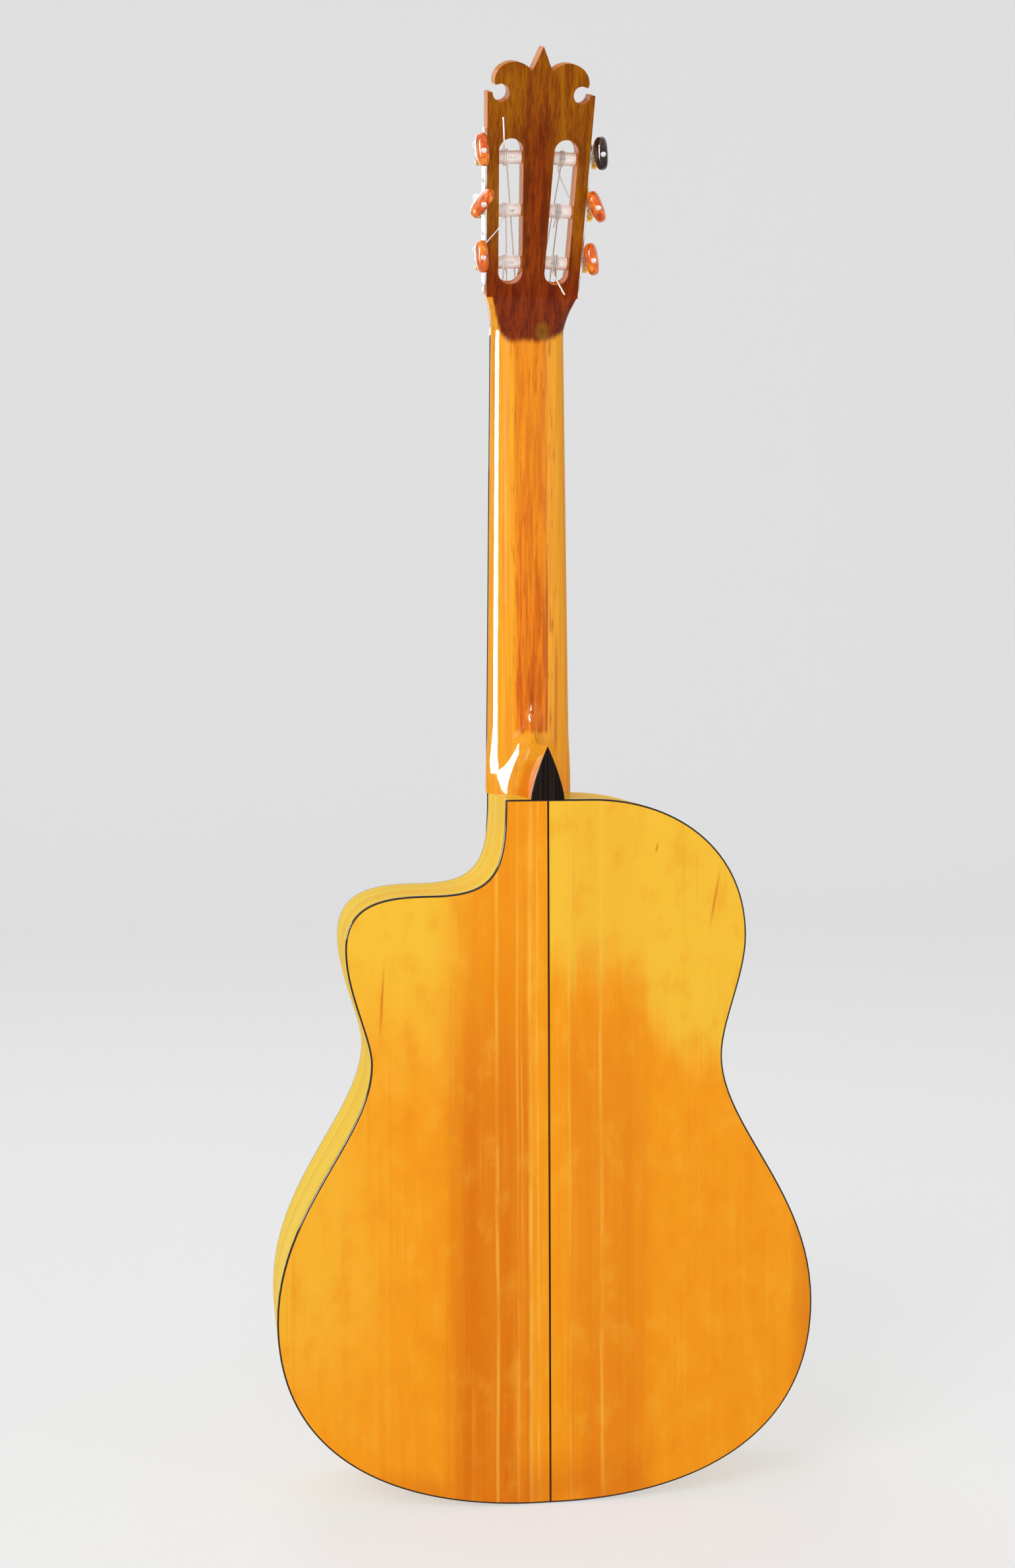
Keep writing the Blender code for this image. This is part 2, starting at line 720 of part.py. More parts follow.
def build_braces(spruce):
    def top_base(x, z):
        return TOP_INNER

    for name, z in (
        ("harmonic_bar_upper", HOLE_Z + BAR_FROM_HOLE),
        ("harmonic_bar_lower", HOLE_Z - BAR_FROM_HOLE),
    ):
        start = Vector((-clear_half(-1, z, BAR_WIDTH), z))
        end = Vector((clear_half(1, z, BAR_WIDTH), z))
        brace(name, start, end, BAR_WIDTH, BAR_HEIGHT, top_base, 1, spruce)
    fan_top = HOLE_Z - BAR_FROM_HOLE - BAR_WIDTH / 2 - GLUE_GAP - FAN_WIDTH
    for i in range(FAN_COUNT):
        place_in_fan = i - (FAN_COUNT - 1) / 2
        lean = math.radians(place_in_fan * FAN_SPREAD)
        start = Vector((place_in_fan * FAN_TOP_SPACING, fan_top))
        end = start + Vector((math.sin(lean), -math.cos(lean))) * FAN_LENGTH
        brace(f"fan_brace_{i + 1}", start, end, FAN_WIDTH, FAN_HEIGHT, top_base, 1, spruce)
    for i, drop in enumerate(BACK_BAR_DROPS):
        z = BODY_TOP - drop
        start = Vector((-clear_half(-1, z, BACK_BAR_WIDTH), z))
        end = Vector((clear_half(1, z, BACK_BAR_WIDTH), z))
        name = f"back_brace_{i + 1}"
        rests = [back_columns(z, across)[column] for across in (-1, 1) for column in (0, 1)]
        brace(name, start, end, BACK_BAR_WIDTH, BACK_BAR_HEIGHT, back_inner, -1, spruce, rests)


# Neck, heel and fingerboard


def neck_half(z):
    """Half width of the neck and the fingerboard at a height."""
    return NUT_HALF + (JOINT_HALF - NUT_HALF) * z / BODY_TOP


def neck_depth(z):
    return NECK_DEPTH_AT_NUT + (NECK_DEPTH_AT_HEEL - NECK_DEPTH_AT_NUT) * z / BODY_TOP


HEAD_LEAN_RAD = math.radians(HEAD_LEAN)
HEAD_UP = Vector((0, math.sin(HEAD_LEAN_RAD), math.cos(HEAD_LEAN_RAD)))
HEAD_REAR = Vector((0, math.cos(HEAD_LEAN_RAD), -math.sin(HEAD_LEAN_RAD)))
HEAD_START = Vector((0, -HEAD_FRONT, NUT_THICKNESS))
WOOD_FRONT = VENEER_THICKNESS + GLUE_GAP
HEAD_DEPTH = WOOD_FRONT + HEAD_THICKNESS


def head_point(x, up, deep):
    """A point of the headstock: across, up from the nut and back from the veneer's face."""
    return HEAD_START + TREBLE * x + HEAD_UP * up + HEAD_REAR * deep


def neck_section(front, rearward, half, depth, squareness):
    """A flat-fronted section whose rounded back gets squarer as squareness grows."""
    steps = 10
    ring = []
    for step in range(steps + 1):
        angle = math.pi * step / steps
        across = math.copysign(abs(math.cos(angle)) ** (2 / squareness), math.cos(angle))
        back = math.sin(angle) ** (2 / squareness) if 0 < step < steps else 0.0
        ring.append(front + TREBLE * (half * across) + rearward * (depth * back))
    return ring


def shoulder_half(share):
    """Half width between the neck's at the nut (0) and the head's at its foot (1)."""
    return NUT_HALF + (HEAD_SIDE_LOW - NUT_HALF) * share


def tilted(angle):
    lean = math.radians(angle)
    return Vector((0, math.cos(lean), -math.sin(lean)))


def build_neck(cedar):
    """The shaft, its run into the head and the heel, in one piece."""
    rings = []
    joint = BODY_TOP + GLUE_GAP
    for z in [joint] + [BODY_TOP * share for share in SHAFT_SHARES]:
        front = Vector((0, 0, z))
        rings.append(neck_section(front, REAR, neck_half(z), neck_depth(z), SHAFT_SQUARENESS))
    for z, lean, deeper, squareness in NUT_BENDS:
        front = Vector((0, 0, z))
        rings.append(neck_section(front, tilted(lean), NUT_HALF, NECK_DEPTH_AT_NUT + deeper, squareness))
    level = (HEAD_FRONT + HEAD_STEP * math.sin(HEAD_LEAN_RAD)) / math.cos(HEAD_LEAN_RAD)
    below = (-HEAD_STEP, *HEAD_SHOULDERS[0][1:])
    for front, shoulder in [(level, below)] + [(WOOD_FRONT, shoulder) for shoulder in HEAD_SHOULDERS]:
        up, width_share, depth_share, squareness = shoulder
        depth = SHOULDER_REAR + (HEAD_DEPTH - SHOULDER_REAR) * depth_share - front
        half = shoulder_half(width_share)
        rings.append(neck_section(head_point(0, up, front), HEAD_REAR, half, depth, squareness))
    neck = loft("neck", rings, cedar, sharp=40)
    cap_front = back_y(0, BODY_TOP) - HEEL_CAP_THICKNESS - GLUE_GAP
    sections = []
    for depth in (*HEEL_DEPTHS, cap_front):
        sections.append(heel_section(depth, joint))
    heel = place("heel_block", loft_mesh("heel_block", sections, sharp=40), cedar)
    combine(neck, heel, "UNION")


def heel_section(depth, joint):
    """A pointed arch across the heel at a depth behind the soundboard's plane."""
    wide = math.exp(-(depth - HEEL_START) / HEEL_FLARE)
    tall = math.exp((HEEL_BEND - max(depth, HEEL_LEVEL)) / HEEL_RISE_FLARE)
    half = HEEL_CAP_HALF + HEEL_TOP_EXTRA_HALF * wide
    height = HEEL_CAP_LENGTH + HEEL_TOP_EXTRA_LENGTH * tall
    fullness = CAP_FULLNESS + (HEEL_TOP_FULLNESS - CAP_FULLNESS) * wide
    return arch(half, height, fullness, depth, joint)


def arch(half, height, fullness, depth, base):
    steps = 6
    ring = []
    for step in range(-steps, steps + 1):
        share = 1 - abs(step) / steps
        x = math.copysign(half * (1 - share**fullness), step)
        ring.append(Vector((x, depth, base + height * share)))
    return ring


def build_heel_cap(ebony):
    base = BODY_TOP + GLUE_GAP
    deep = back_y(0, BODY_TOP)
    low = arch(HEEL_CAP_HALF, HEEL_CAP_LENGTH, CAP_FULLNESS, deep - HEEL_CAP_THICKNESS, base)
    high = arch(HEEL_CAP_HALF, HEEL_CAP_LENGTH, CAP_FULLNESS, deep, base)
    loft("heel_cap", [low, high], ebony)


def board_y(z):
    """The fingerboard's playing face, which tapers towards its end."""
    return -BOARD_AT_NUT + (BOARD_AT_NUT - BOARD_AT_END) * -z / BOARD_LENGTH


def build_fingerboard(ebony):
    """The fingerboard with its frets, as one side profile that widens down the neck."""
    profile = [(-GLUE_GAP, -GLUE_GAP), (-BOARD_LENGTH, -GLUE_GAP), (-BOARD_LENGTH, board_y(-BOARD_LENGTH))]
    for fret in range(FRET_COUNT, 0, -1):
        z = fret_z(fret)
        face = board_y(z)
        for shift, lift in FRET_SECTION:
            profile.append((z + shift * FRET_WIDTH, face - lift * FRET_HEIGHT))
    profile.append((-GLUE_GAP, board_y(0)))
    rings = []
    for side in (1, -1):
        rings.append([Vector((side * neck_half(z), y, z)) for z, y in profile])
    loft("fingerboard", rings, ebony, sharp=25)


def string_at_nut():
    """How far in front of the soundboard's plane the strings' undersides cross the nut."""
    return BOARD_AT_NUT + FRET_HEIGHT + NUT_STRING_LIFT


def build_nut(bone):
    top = string_at_nut() - GLUE_GAP
    profile = [
        (GLUE_GAP, -GLUE_GAP),
        (NUT_THICKNESS - GLUE_GAP, -GLUE_GAP),
        (NUT_THICKNESS - GLUE_GAP, -(top - NUT_SHOULDER)),
        (NUT_CREST, -top),
        (GLUE_GAP, -top),
    ]
    side = [Vector((0, y, z)) for z, y in profile]
    prism("nut", side, -TREBLE * NUT_HALF, TREBLE * NUT_HALF, bone)


# Headstock


def head_side(up):
    """Half width of the headstock, which flares towards its ears."""
    return HEAD_SIDE_LOW + (HEAD_SIDE_HIGH - HEAD_SIDE_LOW) * (up - SCARF) / (EAR_HEIGHT - SCARF)


def crown():
    """Right half of the head's crown, from the ear by the hook and the lobe to the crest's tip."""
    points = [(HEAD_SIDE_HIGH, EAR_HEIGHT), (EAR_INNER, EAR_HEIGHT)]
    opening = math.asin((LOBE_FOOT - EAR_HEIGHT) / HOOK_RADIUS)
    steps = 8
    for step in range(1, steps + 1):
        angle = -(2 * math.pi - opening) * step / steps
        points.append((HOOK_X + HOOK_RADIUS * math.cos(angle), EAR_HEIGHT + HOOK_RADIUS * math.sin(angle)))
    points.append((LOBE_X + LOBE_RADII[0] - LOBE_TUCK, LOBE_FOOT))
    steps = 7
    last = math.pi - math.asin((NOTCH_HEIGHT - LOBE_HEIGHT) / LOBE_RADII[1])
    for step in range(steps + 1):
        angle = last * step / steps
        x = LOBE_X + LOBE_RADII[0] * math.cos(angle)
        points.append((x, LOBE_HEIGHT + LOBE_RADII[1] * math.sin(angle)))
    points.append((NOTCH_X, NOTCH_HEIGHT + NOTCH_LIP))
    points.append((CREST_FOOT, NOTCH_HEIGHT + CREST_FOOT_RISE))
    points.append((CREST_WAIST, NOTCH_HEIGHT + CREST_WAIST_RISE))
    return points


def head_outline(low, low_halves):
    """Closed outline of the head, starting at its low end. Low halves are rising half widths."""
    right = list(low_halves) + crown()
    left = [(-x, up) for x, up in reversed(right)]
    return right + [(0.0, CREST_HEIGHT)] + left


def side_frame(side):
    """Outward, upward and rearward directions of the head's side face."""
    flare = math.atan((HEAD_SIDE_HIGH - HEAD_SIDE_LOW) / (EAR_HEIGHT - SCARF))
    outward = math.cos(flare) * side * TREBLE - math.sin(flare) * HEAD_UP
    upward = math.sin(flare) * side * TREBLE + math.cos(flare) * HEAD_UP
    return outward, upward, HEAD_REAR


def roller_seat(side, index):
    """Where a roller's axis meets the head's side face. Index 0 is nearest the nut."""
    up = ROLLER_LOW + ROLLER_PITCH * index
    return head_point(side * head_side(up), up, ROLLER_DEPTH)


def slot_outline(side, deep):
    """Round-ended slot that follows the head's flare."""
    outward, upward, _ = side_frame(side)
    middle = SLOT_WALL + SLOT_WIDTH / 2
    radius = SLOT_WIDTH / 2
    points = []
    for centre_up, start in ((SLOT_HIGH - radius, 0.0), (SLOT_LOW + radius, math.pi)):
        centre = head_point(side * head_side(centre_up), centre_up, deep) - outward * middle
        steps = 6
        for step in range(steps + 1):
            angle = start + math.pi * step / steps
            points.append(centre + radius * (math.cos(angle) * outward + math.sin(angle) * upward))
    return points


def slot_cutters(side):
    """The slot and, at its low end, the ramp that the strings come in by."""
    tag = "treble" if side > 0 else "bass"
    through = [slot_outline(side, deep) for deep in (-CUT_OVERRUN, HEAD_DEPTH + CUT_OVERRUN)]
    slot = cutter(f"slot_cut_{tag}", through)
    outward = side_frame(side)[0]
    half = SLOT_WIDTH / 2
    top = SLOT_LOW + half
    ramp = ((RAMP_LOW, -RAMP_LIP), (RAMP_LOW, -CUT_OVERRUN), (top, -CUT_OVERRUN), (top, RAMP_DEPTH))
    rings = []
    for across in (-half + RAMP_INSET, half - RAMP_INSET):
        shift = -outward * (SLOT_WALL + half + across)
        ring = []
        for up, deep in ramp:
            ring.append(head_point(side * head_side(top), up, deep) + shift)
        rings.append(ring)
    return [slot, cutter(f"ramp_cut_{tag}", rings)]


def bore_cutters(side):
    """Journal and pivot holes of the rollers, through the slot's two walls."""
    tag = "treble" if side > 0 else "bass"
    outward, upward, rear = side_frame(side)
    widen = 1 / math.cos(math.pi / SMALL_SIDES)
    cuts = []
    for index in range(ROLLERS_PER_SIDE):
        seat = roller_seat(side, index)
        journal = (JOURNAL_RADIUS + SPIN_GAP) * widen
        pivot = (PIVOT_RADIUS + SPIN_GAP) * widen
        far = SLOT_WALL + SLOT_WIDTH + PIVOT_LENGTH + SPIN_GAP
        for kind, radius, start, end in (
            ("journal", journal, CUT_OVERRUN, -SLOT_WALL - CUT_OVERRUN),
            ("pivot", pivot, -SLOT_WALL - SLOT_WIDTH + CUT_OVERRUN, -far),
        ):
            rings = [circle(seat + outward * n, upward, rear, radius, SMALL_SIDES) for n in (start, end)]
            cuts.append(cutter(f"{kind}_cut_{tag}_{index + 1}", rings))
    return cuts


def build_head(cedar, rosewood):
    above = SCARF + GLUE_GAP
    shape = [head_point(x, up, 0) for x, up in head_outline(above, [(head_side(above), above)])]
    head = prism("headstock", shape, HEAD_REAR * WOOD_FRONT, HEAD_REAR * HEAD_DEPTH, cedar)
    low = GLUE_GAP
    halves = [(NUT_HALF + GLUE_GAP, low)]
    halves += [(shoulder_half(share), up) for up, share, _, _ in HEAD_SHOULDERS[1:]]
    shape = [head_point(x, up, 0) for x, up in head_outline(low, halves)]
    veneer = prism("head_veneer", shape, HEAD_REAR * 0, HEAD_REAR * VENEER_THICKNESS, rosewood)
    for side in (1, -1):
        for cut in slot_cutters(side):
            combine(head, cut, "DIFFERENCE")
            combine(veneer, cut, "DIFFERENCE")
        for cut in bore_cutters(side):
            combine(head, cut, "DIFFERENCE")


# Tuners


def joint_frame(origin, z_axis, x_axis):
    """A right-handed frame at an origin, turning about its own Z."""
    y_axis = z_axis.cross(x_axis)
    frame = Matrix((x_axis, y_axis, z_axis)).transposed().to_4x4()
    frame.translation = origin
    return frame


PLATE_FACE = GLUE_GAP + PLATE_THICKNESS
GEAR_LOW = PLATE_FACE + GEAR_FROM_PLATE
GEAR_MIDDLE = GEAR_LOW + GEAR_THICKNESS / 2
WORM_OFFSET = GEAR_PITCH_RADIUS + WORM_PITCH_RADIUS
WORM_LEAD = 2 * math.pi * GEAR_PITCH_RADIUS / GEAR_TEETH
THREAD_HALF = WORM_LEAD * WORM_TURNS / 2
LUG_INNER = THREAD_HALF + WORM_LEAD * 0.5 + SPIN_GAP
BUTTON_START = HEAD_DEPTH - ROLLER_DEPTH + BUTTON_CLEARANCE


def turned(profile, sides, centre=Vector((0, 0, 0))):
    """Rings of a turned shape about local Z, from (height, radius) pairs."""
    x = Vector((1, 0, 0))
    y = Vector((0, 1, 0))
    return [circle(centre + Vector((0, 0, z)), x, y, radius, sides) for z, radius in profile]


def roller_mesh():
    inner = -SLOT_WALL - SLOT_WIDTH
    seat = GEAR_LOW - GLUE_GAP
    profile = [
        (inner - PIVOT_LENGTH + ROLLER_PLAY, PIVOT_RADIUS),
        (inner + ROLLER_PLAY, PIVOT_RADIUS),
        (inner + ROLLER_PLAY, ROLLER_RADIUS),
        (-SLOT_WALL - ROLLER_PLAY, ROLLER_RADIUS),
        (-SLOT_WALL - ROLLER_PLAY, JOURNAL_RADIUS),
        (seat, JOURNAL_RADIUS),
        (seat, TENON_RADIUS),
        (GEAR_LOW + GEAR_THICKNESS, TENON_RADIUS),
    ]
    return loft_mesh("roller", turned(profile, ROUND_SIDES))


def gear_mesh():
    """Slanted teeth that follow the worm's thread, and a bore for the roller's tenon."""
    pitch_angle = 2 * math.pi / GEAR_TEETH
    slant = WORM_LEAD / (2 * math.pi * WORM_PITCH_RADIUS)
    twist = GEAR_THICKNESS / 2 * slant / GEAR_PITCH_RADIUS
    tip = GEAR_PITCH_RADIUS + GEAR_TIP
    root = GEAR_PITCH_RADIUS - GEAR_ROOT
    bore = (TENON_RADIUS + GLUE_GAP) / math.cos(math.pi / GEAR_TEETH / 2)
    tooth_shape = ((root, -TOOTH_ROOT), (tip, -TOOTH_TIP), (tip, TOOTH_TIP), (root, TOOTH_ROOT))
    points = []
    for z, turn in ((GEAR_LOW, -twist), (GEAR_LOW + GEAR_THICKNESS, twist)):
        for tooth in range(GEAR_TEETH):
            centre = tooth * pitch_angle + turn
            for radius, share in tooth_shape:
                angle = centre + share * pitch_angle / 2
                points.append(Vector((radius * math.cos(angle), radius * math.sin(angle), z)))
        for tooth in range(GEAR_TEETH):
            angle = tooth * pitch_angle + turn
            points.append(Vector((bore * math.cos(angle), bore * math.sin(angle), z)))
    rim = 4 * GEAR_TEETH
    level = rim + GEAR_TEETH
    faces = []
    for i in range(rim):
        j = (i + 1) % rim
        faces.append((i, j, level + j, level + i))
    for tooth in range(GEAR_TEETH):
        after = (tooth + 1) % GEAR_TEETH
        for base in (0, level):
            corners = [4 * tooth + k for k in range(4)] + [4 * after, rim + after, rim + tooth]
            faces.append(tuple(base + c for c in corners))
        faces.append((rim + after, rim + tooth, level + rim + tooth, level + rim + after))
    return finished_mesh("gear", points, faces, sharp=25)


def squared(share):
    """Turns the cosine or sine of an oval into that of a squarer one."""
    return math.copysign(abs(share) ** (2 / BUTTON_SQUARENESS), share)


def worm_and_button(name, angle, steel):
    """A worm on its shaft with the button pressed on, about local Z. Local X faces the gear."""
    root = WORM_PITCH_RADIUS - WORM_ROOT
    tip = WORM_PITCH_RADIUS + WORM_TIP
    front = -LUG_INNER - LUG_THICKNESS - SHAFT_TIP
    profile = [
        (front, WORM_SHAFT_RADIUS),
        (-LUG_INNER + SPIN_GAP, WORM_SHAFT_RADIUS),
        (-LUG_INNER + SPIN_GAP, root),
        (LUG_INNER - SPIN_GAP, root),
        (LUG_INNER - SPIN_GAP, WORM_SHAFT_RADIUS),
        (BUTTON_START, WORM_SHAFT_RADIUS),
    ]
    rings = turned(profile, BUTTON_SIDES)
    turn = math.radians(angle)
    long_way = Vector((math.cos(turn), math.sin(turn), 0))
    short_way = Vector((-math.sin(turn), math.cos(turn), 0))
    for share, long_share, short_share in BUTTON_GRIP:
        z = BUTTON_START + share * BUTTON_LENGTH
        ring = []
        for step in range(BUTTON_SIDES):
            spin = 2 * math.pi * step / BUTTON_SIDES - turn
            point = Vector((0, 0, z))
            point += long_way * (BUTTON_HALF_LONG * long_share * squared(math.cos(spin)))
            point += short_way * (BUTTON_HALF_SHORT * short_share * squared(math.sin(spin)))
            ring.append(point)
        rings.append(ring)
    end = BUTTON_START + BUTTON_LENGTH
    rivet = [(end + RIVET_STEP, WORM_SHAFT_RADIUS), (end + BUTTON_RIVET, WORM_SHAFT_RADIUS)]
    rings += turned(rivet, BUTTON_SIDES)
    shaft = place(name, loft_mesh(name, rings), steel)
    sunk = root - THREAD_SINK
    ridge = ((sunk, -THREAD_ROOT), (tip, -THREAD_TIP), (tip, THREAD_TIP), (sunk, THREAD_ROOT))
    thread = []
    for step in range(int(WORM_TURNS * THREAD_POINTS) + 1):
        spin = 2 * math.pi * (step / THREAD_POINTS - WORM_TURNS / 2 - 0.5)
        rise = WORM_LEAD * (spin / (2 * math.pi) + 0.5)
        out = Vector((math.cos(spin), math.sin(spin), 0))
        ring = []
        for radius, share in ridge:
            ring.append(out * radius + Vector((0, 0, rise + share * WORM_LEAD / 2)))
        thread.append(ring)
    helix = place(name + "_thread", loft_mesh(name + "_thread", thread), steel)
    combine(shaft, helix, "UNION")
    return shaft, helix


def build_tuners(ivory, brass, steel, amber):
    roller_shape = roller_mesh()
    gear_shape = gear_mesh()
    roller_shape.materials.append(ivory)
    gear_shape.materials.append(brass)
    number = 0
    for side in (1, -1):
        outward, upward, rear = side_frame(side)
        for index in range(ROLLERS_PER_SIDE):
            number += 1
            seat = roller_seat(side, index)
            axle = bpy.data.objects.new(f"roller_axis_{number}", None)
            bpy.context.scene.collection.objects.link(axle)
            axle.matrix_world = joint_frame(seat, outward, upward)
            place(f"roller_{number}", roller_shape, ivory, parent=axle)
            place(f"gear_{number}", gear_shape, brass, parent=axle)
            worm_centre = seat + outward * GEAR_MIDDLE + upward * WORM_OFFSET
            stem = bpy.data.objects.new(f"worm_axis_{number}", None)
            bpy.context.scene.collection.objects.link(stem)
            stem.matrix_world = joint_frame(worm_centre, rear, -upward)
            for piece in worm_and_button(f"button_{number}", BUTTON_ANGLES[number - 1], amber):
                piece.parent = stem


def build_tuner_plate(name, side, brass):
    """A side plate with rounded ends and two lugs for each worm."""
    outward, upward, rear = side_frame(side)
    low = roller_seat(side, 0)
    high = roller_seat(side, ROLLERS_PER_SIDE - 1)
    steps = 4
    shape = []
    for seat, along in ((high, 1), (low, -1)):
        for step in range(-steps, steps + 1):
            angle = math.pi / 2 * step / steps
            rise = PLATE_OVERHANG * math.cos(angle) ** PLATE_END_FULLNESS
            across = PLATE_HALF_HEIGHT * math.sin(angle)
            shape.append(seat + upward * (along * rise) - rear * (along * across))
    plate = prism(name, shape, outward * GLUE_GAP, outward * PLATE_FACE, brass)
    widen = 1 / math.cos(math.pi / SMALL_SIDES)
    for index in range(ROLLERS_PER_SIDE):
        seat = roller_seat(side, index)
        radius = (JOURNAL_RADIUS + SPIN_GAP) * widen
        ends = (-CUT_OVERRUN, CUT_OVERRUN)
        rings = [circle(seat + outward * n, upward, rear, radius, SMALL_SIDES) for n in ends]
        combine(plate, cutter(f"{name}_journal_{index + 1}", rings), "DIFFERENCE")
        centre = seat + upward * WORM_OFFSET
        top = GEAR_MIDDLE + LUG_HALF
        for tag, sign in (("front", -1), ("rear", 1)):
            near = sign * LUG_INNER
            far = sign * (LUG_INNER + LUG_THICKNESS)
            profile = []
            foot = PLATE_FACE - PLATE_THICKNESS / 2
            rising = ((foot, 1), (top - LUG_CHAMFER, 1), (top, 0.5))
            for n, t in [(n, -t) for n, t in rising] + list(reversed(rising)):
                profile.append(centre + outward * n + upward * (t * LUG_HALF))
            rings = [[p + rear * c for p in profile] for c in (near, far)]
            lug_name = f"{name}_lug_{tag}_{index + 1}"
            lug = place(lug_name, loft_mesh(lug_name, rings), brass)
            combine(plate, lug, "UNION")
        radius = (WORM_SHAFT_RADIUS + SPIN_GAP) * widen
        reach = LUG_INNER + LUG_THICKNESS + CUT_OVERRUN
        axis = centre + outward * GEAR_MIDDLE
        rings = [circle(axis + rear * c, outward, upward, radius, SMALL_SIDES) for c in (-reach, reach)]
        combine(plate, cutter(f"{name}_worm_{index + 1}", rings), "DIFFERENCE")


# Bridge, saddle and strings


def bridge_profile(full):
    """Section across the bridge, from its edge nearest the soundhole towards the tail."""
    half_slot = SADDLE_THICKNESS / 2 + GLUE_GAP
    slot_near = SADDLE_FROM_EDGE - half_slot
    slot_far = SADDLE_FROM_EDGE + half_slot
    block = BRIDGE_WIDTH - TIE_BLOCK_WIDTH
    rounded = (BRIDGE_WING + BRIDGE_EDGE) / 2
    heights = (
        (0.0, 0.0, 0.0),
        (0.0, BRIDGE_HEIGHT * 0.5, BRIDGE_EDGE),
        (BRIDGE_EDGE, BRIDGE_HEIGHT, rounded),
        (slot_near, BRIDGE_HEIGHT, BRIDGE_WING),
        (slot_near, SADDLE_SEAT, BRIDGE_WING),
        (slot_far, SADDLE_SEAT, BRIDGE_WING),
        (slot_far, BRIDGE_HEIGHT * 0.95, BRIDGE_WING),
        (slot_far + BRIDGE_SLOPE_END, BRIDGE_HEIGHT * 0.8, BRIDGE_WING),
        (block - BRIDGE_SLOPE_END, BRIDGE_CHANNEL, BRIDGE_WING),
        (block, BRIDGE_CHANNEL, BRIDGE_WING),
        (block, BRIDGE_HEIGHT, BRIDGE_WING),
        (BRIDGE_WIDTH - BRIDGE_EDGE, BRIDGE_HEIGHT, rounded),
        (BRIDGE_WIDTH, BRIDGE_HEIGHT * 0.75, BRIDGE_EDGE),
        (BRIDGE_WIDTH, 0.0, 0.0),
    )
    return [(along, tall if full else low) for along, tall, low in heights]


def build_bridge(rosewood, bone):
    rings = []
    stations = [
        (BRIDGE_BLOCK_HALF, True, 0.0),
        (BRIDGE_BLOCK_HALF + BLOCK_STEP, False, 0.0),
        (BRIDGE_HALF - BRIDGE_TIP, False, 0.0),
        (BRIDGE_HALF, False, BRIDGE_TIP_DRAW),
    ]
    for x, full, narrow in [(-x, full, narrow) for x, full, narrow in reversed(stations)] + stations:
        ring = []
        for along, tall in bridge_profile(full):
            shift = narrow * (1 - 2 * along / BRIDGE_WIDTH)
            ring.append(Vector((x, -GLUE_GAP - tall, BRIDGE_Z - along - shift)))
        rings.append(ring)
    bridge = loft("bridge", rings, rosewood)
    for number in range(1, 7):
        x = string_x(number, SADDLE_SPREAD_HALF)
        rings = []
        for along in (BRIDGE_WIDTH - TIE_BLOCK_WIDTH - TIE_END, BRIDGE_WIDTH + TIE_END):
            centre = Vector((x, -GLUE_GAP - TIE_HOLE_HEIGHT, BRIDGE_Z - along))
            rings.append(circle(centre, TREBLE, REAR, TIE_HOLE_RADIUS, 6))
        combine(bridge, cutter(f"tie_hole_{number}", rings), "DIFFERENCE")
    low = -GLUE_GAP - SADDLE_SEAT - GLUE_GAP
    high = -STRING_AT_SADDLE + GLUE_GAP
    half = SADDLE_THICKNESS / 2
    shoulder = high + SADDLE_CROWN
    crest = half * 0.4
    profile = [(low, half), (low, -half), (shoulder, -half), (high, -crest), (high, crest), (shoulder, half)]
    side = [Vector((0, y, SADDLE_Z + z)) for y, z in profile]
    prism("saddle", side, -TREBLE * SADDLE_HALF, TREBLE * SADDLE_HALF, bone)


def string_x(number, spread_half):
    """Strings are counted from the treble side."""
    return spread_half * (1 - 2 * (number - 1) / 5)


def smooth(points, steps):
    """Points on a smooth curve through the given ones, which keep their places."""
    ends = [2 * points[0] - points[1]] + points + [2 * points[-1] - points[-2]]
    out = [points[0]]
    for a, b, c, d in zip(ends, ends[1:], ends[2:], ends[3:]):
        for step in range(1, steps + 1):
            t = step / steps
            bend = 2 * a - 5 * b + 4 * c - d
            twist = 3 * b - a - 3 * c + d
            out.append(0.5 * (2 * b + (c - a) * t + bend * t * t + twist * t**3))
    return out


# For each string: the roller's side and place, where it winds on, whether it winds outwards (1) or
# inwards (-1), the part of a turn past two at which it leaves, and the tail's points in the side frame
STRING_ROUTES = {
    1: (1, 0, -0.0150, 1, 180, ((-0.0120, -0.0060, 0.0052), (-0.0125, -0.0095, 0.0030))),
    2: (1, 1, -0.0150, 1, 170, (
        (-0.0110, -0.0045, 0.0075), (-0.0092, -0.0085, 0.0104), (-0.0060, -0.0130, 0.0112),
        (-0.0010, -0.0185, 0.0110), (0.0030, -0.0240, 0.0100),
    )),
    3: (1, 2, -0.0150, 1, 88, (
        (-0.0118, 0.0066, 0.0045), (-0.0115, 0.0082, 0.0088), (-0.0112, 0.0110, 0.0112),
        (-0.0110, 0.0180, 0.0109), (-0.0105, 0.0270, 0.0107),
    )),
    4: (-1, 2, -0.0165, -1, 180, (
        (-0.0205, -0.0060, 0.0056), (-0.0180, -0.0130, 0.0055),
        (-0.0145, -0.0195, 0.0060), (-0.0115, -0.0250, 0.0068),
    )),
    5: (-1, 1, -0.0160, -1, 180, ((-0.0195, -0.0060, 0.0050), (-0.0200, -0.0105, 0.0030))),
    6: (-1, 0, -0.0150, -1, 175, (
        (-0.0186, -0.0045, 0.0075), (-0.0170, -0.0085, 0.0104),
        (-0.0140, -0.0130, 0.0114), (-0.0095, -0.0195, 0.0110),
    )),
}


